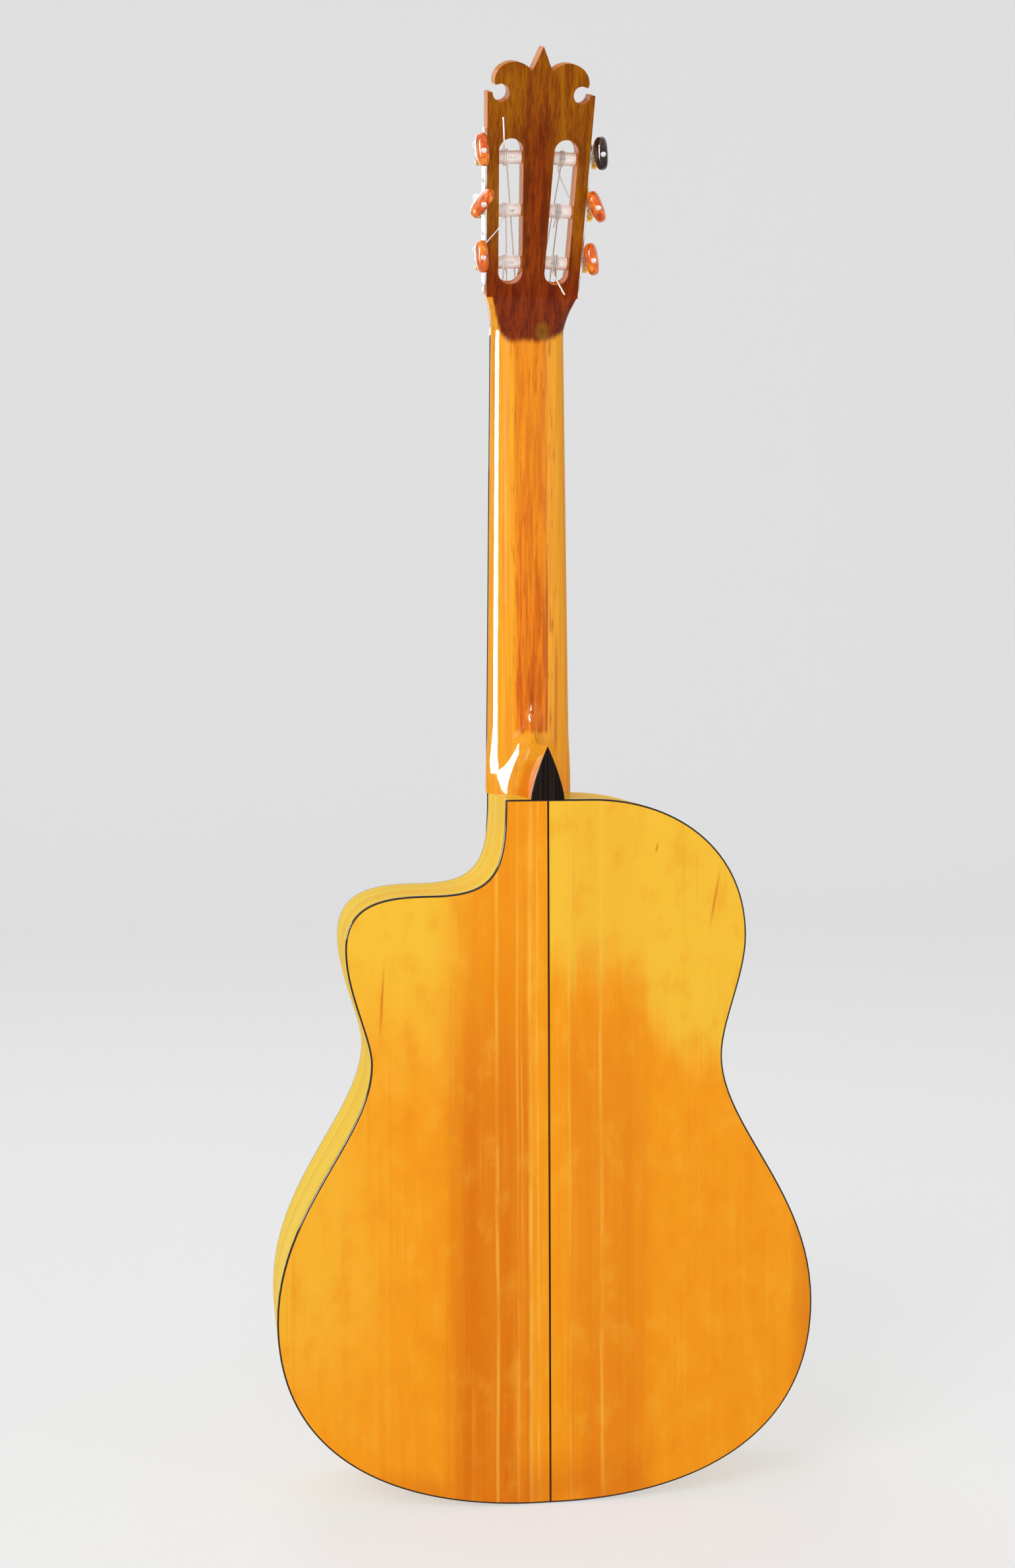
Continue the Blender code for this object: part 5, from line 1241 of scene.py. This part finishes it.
def roller_mesh():
    inner = -SLOT_WALL - SLOT_WIDTH + 0.0004
    outer = -SLOT_WALL - 0.0004
    profile = [(inner - PIVOT_LENGTH + 0.0008, PIVOT_RADIUS), (inner, PIVOT_RADIUS)]
    rounding = [(0, 1), (0.3, 0.3), (1, 0)]
    for end, way in ((inner, 1), (outer, -1)):
        for along, short in rounding[::way]:
            profile.append((end + way * along * ROLLER_EDGE, ROLLER_RADIUS - short * ROLLER_EDGE))
    profile += [(outer, JOURNAL_RADIUS), (GEAR_LOW, JOURNAL_RADIUS)]
    hole_at = Vector((0, -0.01, -SLOT_WALL - SLOT_WIDTH * 0.62))
    hole = rod(hole_at, hole_at + REAR * 0.02, TREBLE, UP, STRING_HOLE_RADIUS, SMALL_HOLE)
    return carved(turned(profile), [hole])


def gear_mesh():
    """Slanted teeth with rounded flanks on a dished disc."""
    pitch_angle = 2 * math.pi / GEAR_TEETH
    slant = WORM_LEAD / (2 * math.pi * WORM_PITCH_RADIUS)
    twist = GEAR_THICKNESS / 2 * slant / GEAR_PITCH_RADIUS
    tip = GEAR_PITCH_RADIUS + TOOTH_TIP
    root = GEAR_PITCH_RADIUS - TOOTH_ROOT
    flank = [(root, -0.54), (root + 0.0003, -0.44), (tip - 0.0003, -0.30), (tip, -0.18)]
    flank += [(radius, -aside) for radius, aside in reversed(flank)]
    rings = []
    for share in spread(0, 1, 4):
        ring = []
        for tooth in range(GEAR_TEETH):
            centre = tooth * pitch_angle + twist * (2 * share - 1)
            for radius, aside in flank:
                angle = centre + aside * pitch_angle / 2
                ring.append(polar(radius, angle, GEAR_LOW + GEAR_THICKNESS * share))
        rings.append(ring)
    hub = turned(((GEAR_TOP - 0.0002, 0.0032), (GEAR_TOP + 0.0002, 0.0031), (GEAR_TOP + 0.0003, 0.0024)))
    return joined([bevelled(loft(rings, sharp=40), 0.0001, segments=2), hub])


def screw_mesh(radius):
    """A domed screw head with a slot, about Z."""
    profile = [(-0.0004, radius)]
    for angle in spread(0, math.pi / 2, 6):
        profile.append((SCREW_HEIGHT * math.sin(angle), radius * math.cos(angle)))
    corners = ((-1, -1), (1, -1), (1, 1), (-1, 1))
    slot = [Vector((x * radius * 1.2, y * radius * 0.14, 0)) for x, y in corners]
    return carved(turned(profile), [prism(slot, UP * (SCREW_HEIGHT * 0.45), UP * (SCREW_HEIGHT * 2))])


def worm_mesh():
    """The worm and its shaft up to the button."""
    root = WORM_PITCH_RADIUS - TOOTH_ROOT
    front = -LUG_INNER - LUG_THICKNESS - 0.0008
    thread_end = LUG_INNER - 0.0003
    collar = WORM_SHAFT_RADIUS + 0.0012
    shaft = turned((
        (front, WORM_SHAFT_RADIUS - 0.0003),
        (front + 0.0003, WORM_SHAFT_RADIUS),
        (-thread_end, WORM_SHAFT_RADIUS),
        (-thread_end, root),
        (thread_end, root),
        (thread_end, WORM_SHAFT_RADIUS),
        (BUTTON_START - 0.0012, WORM_SHAFT_RADIUS),
        (BUTTON_START - 0.0012, collar),
        (BUTTON_START + 0.0002, collar),
    ))
    low = root - 0.0002
    high = WORM_PITCH_RADIUS + TOOTH_TIP
    thread = []
    for turn in spread(-WORM_TURNS / 2, WORM_TURNS / 2, WORM_STEPS):
        section = []
        for radius, share in ((low, -0.45), (high, -0.20), (high, 0.20), (low, 0.45)):
            section.append(polar(radius, 2 * math.pi * (turn - 0.5), WORM_LEAD * (turn + share / 2)))
        thread.append(section)
    return joined([shaft, loft(thread)])


def button_mesh(angle):
    """The oval button, about Z, with its long way turned by an angle."""
    grip = (
        (0.0, 0.30, 0.60),
        (0.05, 0.50, 0.80),
        (0.18, 0.80, 0.95),
        (0.60, 1.00, 0.98),
        (0.90, 0.82, 0.70),
        (0.98, 0.62, 0.50),
        (1.0, 0.40, 0.32),
    )
    long_way = polar(BUTTON_HALF_LONG, math.radians(angle), 0)
    short_way = polar(BUTTON_HALF_SHORT, math.radians(angle + 90), 0)
    rings = []
    for share, long_share, short_share in grip:
        ring = []
        for spin in turns(ROUND):
            along = math.cos(spin)
            aside = math.sin(spin)
            size = abs(along) ** BUTTON_SQUARENESS + abs(aside) ** BUTTON_SQUARENESS
            reach = size ** (-1 / BUTTON_SQUARENESS)
            point = UP * (BUTTON_START + share * BUTTON_LENGTH) + long_way * (long_share * reach * along)
            ring.append(point + short_way * (short_share * reach * aside))
        rings.append(ring)
    return loft(refined(rings, 4), sharp=60)


def make_tuners(roller, brass, steel, button, dark_button):
    number = 0
    for side in SIDES:
        for index, place in enumerate(PLACES):
            number += 1
            body = f"{side.name}_{place}"
            axle = axis_frame(side.seat(index), side.outward, side.upward)
            stem = axis_frame(side.off(index, GEAR_MIDDLE, WORM_OFFSET), HEAD_REAR, -side.upward)
            top = axle @ Matrix.Translation(UP * GEAR_TOP)
            end = stem @ Matrix.Translation(UP * (BUTTON_START + BUTTON_LENGTH))
            plastic = dark_button if number == 6 else button
            knob = button_mesh(BUTTON_ANGLES[number - 1])
            rivet = turned(((-0.001, 0.0018), (0.0003, 0.0017), (0.0007, 0.0008)))
            for ending, mesh, where, finish, node, rides in (
                ("spool", roller_mesh(), axle, roller, f"roller_{number}", "roller"),
                ("wheel", gear_mesh(), axle, brass, f"gear_{number}", "roller"),
                ("wheel_screw", screw_mesh(0.0021), top, steel, None, "roller"),
                ("worm", worm_mesh(), stem, steel, f"button_{number}", "button"),
                ("knob", knob, stem, plastic, None, "button"),
                ("rivet", rivet, end, steel, None, "button"),
            ):
                piece(f"{body}_{ending}", moved(mesh, where), finish, node, f"{body}_{rides}")


def plate_outline(side):
    """A side plate that narrows to a rounded tongue past its end rollers."""
    shape = []
    for index, along in ((len(PLACES) - 1, 1), (0, -1)):
        for angle in spread(-math.pi / 2, math.pi / 2, 28):
            rise = PLATE_OVERHANG * abs(math.cos(angle)) ** 0.8
            across = PLATE_HALF_HEIGHT * math.sin(angle)
            shape.append(side.off(index, 0, along * rise, -along * across))
    return shape


def lug_mesh(side, index, near, far):
    """A bearing lug with a round top for the worm's shaft, between two places along the shaft."""
    shape = [(0, -LUG_HALF), (GEAR_MIDDLE, -LUG_HALF)]
    for angle in spread(0, math.pi, 12)[1:-1]:
        shape.append((GEAR_MIDDLE + math.sin(angle) * LUG_HALF, -math.cos(angle) * LUG_HALF))
    shape += [(GEAR_MIDDLE, LUG_HALF), (0, LUG_HALF)]
    ring = [side.off(index, out, WORM_OFFSET + up) for out, up in shape]
    return bevelled(prism(ring, HEAD_REAR * near, HEAD_REAR * far), 0.0003, 2)


def make_tuner_plates(steel):
    for side in SIDES:
        plate = prism(plate_outline(side), REAR * 0, side.outward * PLATE_FACE)
        holes = []
        lugs = []
        screw_places = []
        for index in range(len(PLACES)):
            holes.append(side.bore(index, -0.002, 0.004, JOURNAL_RADIUS))
            for sign in (-1, 1):
                lugs.append(lug_mesh(side, index, sign * LUG_INNER, sign * (LUG_INNER + LUG_THICKNESS)))
            screw_places.append((index, -0.0150))
        screw_places.append((len(PLACES) - 1, 0.0162))
        screws = []
        for index, up in screw_places:
            face = axis_frame(side.off(index, PLATE_FACE, up), side.outward, side.upward)
            screws.append(moved(screw_mesh(0.0020), face))
        plate = bevelled(carved(plate, holes), 0.0003, 2)
        name = f"tuner_plate_{side.name}"
        piece(name + "_polished", joined([plate] + lugs + screws), steel, name)


# Bridge and strings


def bridge_profile(full):
    """Section across the bridge, from its edge nearest the soundhole towards the tail."""
    near = SADDLE_DROP - SADDLE_THICKNESS / 2
    far = SADDLE_DROP + SADDLE_THICKNESS / 2
    block = BRIDGE_WIDTH - TIE_BLOCK_WIDTH
    rounded = (BRIDGE_WING + BRIDGE_EDGE) / 2
    heights = (
        (0.0, 0.0, 0.0),
        (0.0, BRIDGE_HEIGHT * 0.5, BRIDGE_EDGE),
        (0.0005, BRIDGE_HEIGHT * 0.83, 0.0020),
        (BRIDGE_EDGE, BRIDGE_HEIGHT, rounded),
        (near, BRIDGE_HEIGHT, BRIDGE_WING),
        (near, SADDLE_SEAT, BRIDGE_WING),
        (far, SADDLE_SEAT, BRIDGE_WING),
        (far, BRIDGE_HEIGHT * 0.95, BRIDGE_WING),
        (far + 0.002, BRIDGE_HEIGHT * 0.8, BRIDGE_WING),
        (block - 0.002, 0.0028, BRIDGE_WING),
        (block, 0.0028, BRIDGE_WING),
        (block, BRIDGE_HEIGHT, BRIDGE_WING),
        (BRIDGE_WIDTH - BRIDGE_EDGE, BRIDGE_HEIGHT, rounded),
        (BRIDGE_WIDTH - 0.0005, BRIDGE_HEIGHT * 0.92, 0.0020),
        (BRIDGE_WIDTH, BRIDGE_HEIGHT * 0.75, BRIDGE_EDGE),
        (BRIDGE_WIDTH, 0.0, 0.0),
    )
    return [(along, tall if full else low) for along, tall, low in heights]


def string_x(number, spread_half):
    """Strings are counted from the treble side."""
    return spread_half * (1 - 2 * (number - 1) / 5)


def make_bridge(wood, bone):
    stations = (
        (BRIDGE_HALF, False, 0.0022),
        (BRIDGE_HALF - 0.0012, False, 0.0008),
        (BRIDGE_HALF - 0.004, False, 0.0),
        (BRIDGE_BLOCK_HALF + 0.0006, False, 0.0),
        (BRIDGE_BLOCK_HALF, True, 0.0),
    )
    mirrored = [(-x, full, narrow) for x, full, narrow in stations]
    rings = []
    for x, full, narrow in mirrored + list(reversed(stations)):
        ring = []
        for along, tall in bridge_profile(full):
            shift = narrow * (1 - 2 * along / BRIDGE_WIDTH)
            ring.append(Vector((x, -tall, BRIDGE_Z - along - shift)))
        rings.append(ring)
    holes = []
    for number in range(1, 7):
        x = string_x(number, SADDLE_SPREAD_HALF)
        ends = (BRIDGE_WIDTH - 0.0145, BRIDGE_WIDTH + 0.002)
        start, end = (Vector((x, -TIE_HOLE_HEIGHT, BRIDGE_Z - along)) for along in ends)
        holes.append(rod(start, end, TREBLE, REAR, STRING_HOLE_RADIUS, SMALL_HOLE))
    body = carved(loft(rings, sharp=25), holes)
    piece("bridge_wood", bevelled(body, 0.00025, 2, angle=50), wood, "bridge")
    trims = []
    reach = TREBLE * (BRIDGE_BLOCK_HALF - 0.0003)
    for along in (BRIDGE_WIDTH - TIE_BLOCK_WIDTH, BRIDGE_WIDTH - 0.0020):
        corners = ((0, -0.0002), (0.0014, -0.0002), (0.0014, 0.0009), (0, 0.0009))
        shape = [Vector((0, -BRIDGE_HEIGHT + b, BRIDGE_Z - along - a)) for a, b in corners]
        trims.append(bevelled(prism(shape, -reach, reach), 0.0001, 2))
    piece("tie_block_trim", joined(trims), bone)
    high = -STRING_AT_SADDLE + 0.0001
    half = SADDLE_THICKNESS / 2
    profile = [(-SADDLE_SEAT, half), (-SADDLE_SEAT, -half)]
    for angle in spread(0, math.pi, 8):
        profile.append((high + half * (1 - math.sin(angle)), -half * math.cos(angle)))
    shape = [Vector((0, y, SADDLE_Z + z)) for y, z in profile]
    piece("saddle_bone", prism(shape, -TREBLE * SADDLE_HALF, TREBLE * SADDLE_HALF), bone, "saddle")


# For each string: the roller's side and place, where it winds on, whether it winds outwards (1) or
# inwards (-1), the part of a turn past two at which it leaves, and the tail's points in the side frame
STRING_ROUTES = (
    (0, 0, -0.0150, 1, 180, ((-0.0120, -0.0060, 0.0052), (-0.0125, -0.0095, 0.0030))),
    (0, 1, -0.0150, 1, 170, (
        (-0.0110, -0.0045, 0.0075), (-0.0092, -0.0085, 0.0104), (-0.0060, -0.0130, 0.0112),
        (-0.0010, -0.0185, 0.0110), (0.0030, -0.0240, 0.0100))),
    (0, 2, -0.0150, 1, 88, (
        (-0.0118, 0.0066, 0.0045), (-0.0115, 0.0082, 0.0088), (-0.0112, 0.0110, 0.0112),
        (-0.0110, 0.0180, 0.0109), (-0.0105, 0.0270, 0.0107))),
    (1, 2, -0.0165, -1, 180, (
        (-0.0205, -0.0060, 0.0056), (-0.0180, -0.0130, 0.0055),
        (-0.0145, -0.0195, 0.0060), (-0.0115, -0.0250, 0.0068))),
    (1, 1, -0.0160, -1, 180, ((-0.0195, -0.0060, 0.0050), (-0.0200, -0.0105, 0.0030))),
    (1, 0, -0.0150, -1, 175, (
        (-0.0186, -0.0045, 0.0075), (-0.0170, -0.0085, 0.0104),
        (-0.0140, -0.0130, 0.0114), (-0.0095, -0.0195, 0.0110))),
)


def string_path(number, diameter):
    """From behind the tie block, over the saddle and the nut, round the roller and off it."""
    radius = diameter / 2
    side_index, index, wind_on, way, leave, tail = STRING_ROUTES[number - 1]
    side = SIDES[side_index]
    block_x = string_x(number, SADDLE_SPREAD_HALF)
    hole_y = -TIE_HOLE_HEIGHT - 0.0003
    tie = BRIDGE_Z - BRIDGE_WIDTH
    nut_y = -(BOARD_AT_NUT + FRET_HEIGHT + NUT_STRING_LIFT) - radius
    nut_point = Vector((string_x(number, NUT_SPREAD_HALF), nut_y, NUT_CREST))
    path = [
        Vector((block_x, hole_y, tie - 0.0008)),
        Vector((block_x, hole_y, tie + 0.0135)),
        Vector((block_x, -STRING_AT_SADDLE - radius, SADDLE_Z)),
        nut_point,
    ]
    around = ROLLER_RADIUS + 0.0004 + radius
    arriving = side.off(index, wind_on, 0.0, -around) - nut_point
    lean = math.atan2(arriving.dot(HEAD_REAR), arriving.dot(side.upward))
    sweep = 2 * math.pi * WINDING_TURNS + math.radians(leave) - lean
    pitch = way * (diameter + WINDING_GAP) / (2 * math.pi)
    for turn in spread(0, sweep, round(sweep / (2 * math.pi) * LOOP_POINTS)):
        up = around * math.sin(lean + turn)
        path.append(side.off(index, wind_on + pitch * turn, up, -around * math.cos(lean + turn)))
    route = [path[-1]] + [side.off(index, *place) for place in tail]
    return path[:-1] + smooth(route, 8)


def knot_points(number, radius):
    """The loop that ties a string over the tie block."""
    x = string_x(number, SADDLE_SPREAD_HALF)
    over = -BRIDGE_HEIGHT - radius
    hole_y = -TIE_HOLE_HEIGHT
    near = BRIDGE_Z - BRIDGE_WIDTH + TIE_BLOCK_WIDTH
    far = BRIDGE_Z - BRIDGE_WIDTH
    behind = far - radius
    before = near + radius
    route = (
        (0.0, hole_y, far + 0.001),
        (0.2, hole_y, behind - 0.0003),
        (0.5, over * 0.85, behind - 0.0002),
        (0.7, over, far + 0.002),
        (1.0, over, near - 0.002),
        (0.7, over * 0.92, before),
        (-0.4, hole_y - 0.0012, before + 0.0004),
        (-1.0, over * 0.92, before),
        (-1.0, over, near - 0.002),
        (-0.6, over, far + 0.002),
        (0.4, over * 0.92, behind - 0.0004),
        (1.6, over * 0.72, behind - 0.0002),
    )
    return smooth([Vector((x + 0.0016 * aside, y, z)) for aside, y, z in route], 6)


def make_strings(nylon, wound):
    for number in range(1, 7):
        diameter = STRING_DIAMETERS[6 - number]
        radius = diameter / 2
        finish = nylon if number < 4 else wound
        name = f"string_{number}"
        piece(name + "_line", tube(string_path(number, diameter), radius), finish, name)
        piece(name + "_knot", tube(knot_points(number, radius), radius * 0.9), finish)


# Stage


def make_stage():
    """A plain pale floor that curves up into the backdrop, on the side that the camera looks at."""
    floor_z = BODY_TOP - BODY_LENGTH - 0.0006
    near = 3.2
    far = -4.6
    radius = 1.2
    width = 6.0
    line = [(near, floor_z)]
    for angle in spread(0, math.pi / 2, 16):
        line.append((far + radius * (1 - math.sin(angle)), floor_z + radius * (1 - math.cos(angle))))
    line.append((far, 3.0))
    points = [Vector((x, y, z)) for y, z in line for x in (-width, width)]
    faces = [(i, i + 1, i + 3, i + 2) for i in range(0, 2 * len(line) - 2, 2)]
    sheet = put("studio_sheet", finished_mesh(points, faces))
    look = Look("studio_sheet", (0.80, 0.80, 0.80, 1.0), roughness=0.9, specular_ior_level=0.1)
    rays = look.tree.nodes.new("ShaderNodeLightPath").outputs
    seen = [Value(look, rays[f"Is {kind} Ray"]) for kind in ("Camera", "Glossy", "Transmission")]
    glow = look.node("ShaderNodeEmission", {"Color": (0.96, 0.96, 0.96, 1.0)})
    plain = Value(look, look.shader.outputs[0])
    blend = look.node("ShaderNodeMixShader", {0: most(*seen) * 0.55, 1: plain, 2: glow})
    look.feed(look.tree.nodes["Material Output"].inputs[0], blend)
    sheet.data.materials.append(look.done()[0])


def make_world():
    world = bpy.data.worlds.new("studio")
    bpy.context.scene.world = world
    world.use_nodes = True
    tree = world.node_tree
    background = tree.nodes["Background"]
    background.inputs["Color"].default_value = (1.0, 1.0, 1.0, 1.0)
    rays = tree.nodes.new("ShaderNodeLightPath")
    seen = rays.outputs["Is Camera Ray"]
    for kind in ("Is Glossy Ray", "Is Transmission Ray"):
        either = tree.nodes.new("ShaderNodeMath")
        either.operation = "MAXIMUM"
        tree.links.new(seen, either.inputs[0])
        tree.links.new(rays.outputs[kind], either.inputs[1])
        seen = either.outputs[0]
    strength = tree.nodes.new("ShaderNodeMapRange")
    strength.inputs["To Min"].default_value = 0.45
    strength.inputs["To Max"].default_value = 1.0
    tree.links.new(seen, strength.inputs["Value"])
    tree.links.new(strength.outputs[0], background.inputs["Strength"])


def make_light(name, place, target, size, power, diffuse=True, glossy=True):
    """A rectangular lamp, which can give the diffuse light or the gloss alone."""
    data = bpy.data.lights.new(name, "AREA")
    data.shape = "RECTANGLE"
    data.size, data.size_y = size
    data.energy = power
    lamp = put(name, data)
    direction = Vector(target) - Vector(place)
    lamp.matrix_world = direction.to_track_quat("-Z", "Y").to_matrix().to_4x4()
    lamp.location = place
    lamp.visible_camera = False
    lamp.visible_diffuse = diffuse
    lamp.visible_glossy = glossy
    return lamp


def keep_off(lamp, things):
    """Leaves some objects out of a lamp's light."""
    dark = bpy.data.collections.new("out_of_" + lamp.name)
    for thing in things:
        dark.objects.link(thing)
    lamp.light_linking.receiver_collection = dark
    for entry in dark.collection_objects:
        entry.light_linking.link_state = "EXCLUDE"


def make_lights():
    middle = (0.0, 0.05, -0.35)
    make_light("key", (1.6, 2.2, 1.4), middle, (1.4, 1.4), 26.0)
    make_light("fill", (-1.8, 1.8, 0.2), middle, (1.6, 2.0), 9.0)
    make_light("facing", (0.3, 2.6, 0.1), middle, (0.8, 0.8), 11.0, glossy=False)
    make_light("side", (2.2, 0.9, -0.3), middle, (1.4, 1.0), 8.0, glossy=False)
    make_light("front", (0.4, -1.0, 1.6), middle, (1.2, 1.2), 10.0)
    soft = make_light("soundboard", (0.0, -2.4, -0.3), middle, (1.4, 1.4), 17.0, glossy=False)
    keep_off(soft, [bpy.data.objects["studio_sheet"]])
    beside = (0.0, 0.18, -0.02)
    strong = make_light("treble_gloss", (1.5, 0.18, -0.02), beside, (0.79, 0.62), 115.0, diffuse=False)
    ends = ("_polished", "_wheel", "_wheel_screw", "_worm", "frets")
    keep_off(strong, [thing for thing in bpy.data.objects if thing.name.endswith(ends)])
    make_light("neck_gloss", (0.9, 1.3, 0.10), (0.0, 0.0, 0.10), (0.30, 0.40), 1.6, diffuse=False)
    make_light("plate_gloss", (0.20, -1.2, 0.38), (0.04, 0.03, 0.08), (0.5, 0.7), 1.8, diffuse=False)


def make_camera():
    """Stands where the photograph was taken, behind the guitar and a little to its treble side."""
    yaw = 0.1414
    pitch = 0.0479
    roll = 0.0028
    axes = [-TREBLE, UP, -REAR]
    for angle, about in ((-yaw, 1), (-pitch, 0), (roll, 2)):
        turn = Matrix.Rotation(angle, 3, axes[about])
        axes = [turn @ axis for axis in axes]
    right, up, forward = axes
    data = bpy.data.cameras.new("camera")
    data.sensor_fit = "VERTICAL"
    data.sensor_height = 36.0
    data.lens = 48.44
    data.clip_start = 0.05
    camera = put("camera", data)
    matrix = Matrix((right, up, -forward)).transposed().to_4x4()
    matrix.translation = (0.2272, 1.4931, -0.2464)
    camera.matrix_world = matrix
    bpy.context.scene.camera = camera


def dress_inside(spruce, cedar, black):
    """Gives the solids inside the body their bare wood."""
    bars = ["harmonic_bar_upper", "harmonic_bar_lower"]
    bars += [f"fan_brace_{i}" for i in range(1, 6)] + [f"back_brace_{i}" for i in range(1, 4)]
    blocks = ["tail_block", "neck_foot", "top_lining", "back_lining"]
    for (material, _), names in ((spruce, bars), (cedar, blocks), (black, ["tail_graft"])):
        for name in names:
            mesh = frame["nodes"][name].data
            mesh.materials.clear()
            mesh.materials.append(material)


def main():
    ebony = ebony_look("ebony", (22, 18, 17), (46, 36, 30), 0.5)
    strip_wood = ebony_look("strip_wood", (46, 34, 8), (72, 54, 16), 0.1)
    binding_wood = ebony_look("binding_wood", (34, 22, 14), (60, 40, 24), 0.5)
    board_wood = ebony_look("board_ebony", (22, 18, 17), (46, 36, 30), 0.05)
    head_rosewood = rosewood_look("rosewood", 0.42, (900, 900, 22), (130, 130, 9))
    bridge_rosewood = rosewood_look("bridge_rosewood", 0.40, (22, 900, 900), (9, 130, 130))
    steel = metal_look("plated_steel", (236, 236, 238), (214, 214, 218), 0.18)
    brass = metal_look("gear_brass", (240, 200, 110), (214, 164, 78), 0.22)
    amber = button_look("button_plastic", (246, 146, 30), (226, 92, 8), (160, 44, 2))
    dark = button_look("dark_button_plastic", (60, 24, 14), (26, 10, 8), (12, 6, 6))
    bone = grained(
        "bone", (244, 238, 220), (226, 214, 184), (300, 900, 900), (0.35, 0.70), 0.00002,
        roughness=0.30, specular_ior_level=0.5, subsurface_weight=0.1,
        subsurface_radius=(0.002, 0.0015, 0.001),
    )
    roller = grained(
        "roller_plastic", (255, 253, 250), (246, 241, 234), (260, 260, 260), (0.30, 0.75), 0.00001,
        detail=2, roughness=0.30, specular_ior_level=0.5,
    )
    clear = grained(
        "acetate", (252, 236, 196), (246, 222, 170), (40, 0, 40), (0.30, 0.75),
        detail=2, roughness=0.10, specular_ior_level=0.5, transmission_weight=0.85, ior=1.3, alpha=0.45,
    )
    inner_spruce = inner_look("inner_spruce", (226, 196, 144), (206, 168, 110), (900, 900, 900))
    inner_cedar = inner_look("inner_cedar", (186, 122, 70), (156, 92, 48), (900, 900, 12))
    make_back(back_look(), strip_wood)
    make_bindings(binding_wood)
    make_ribs(rib_look())
    make_soundboard(spruce_look(), rosette_look(), clear)
    make_neck(neck_look(), board_wood)
    make_fingerboard(board_wood, steel, bone)
    make_head(head_look(), head_rosewood)
    make_tuners(roller, brass, steel, amber, dark)
    make_tuner_plates(steel)
    make_bridge(bridge_rosewood, bone)
    make_strings(nylon_look(), wound_look())
    dress_inside(inner_spruce, inner_cedar, ebony)
    make_stage()
    make_world()
    make_lights()
    make_camera()
    bpy.context.scene.view_settings.view_transform = "Standard"


main()
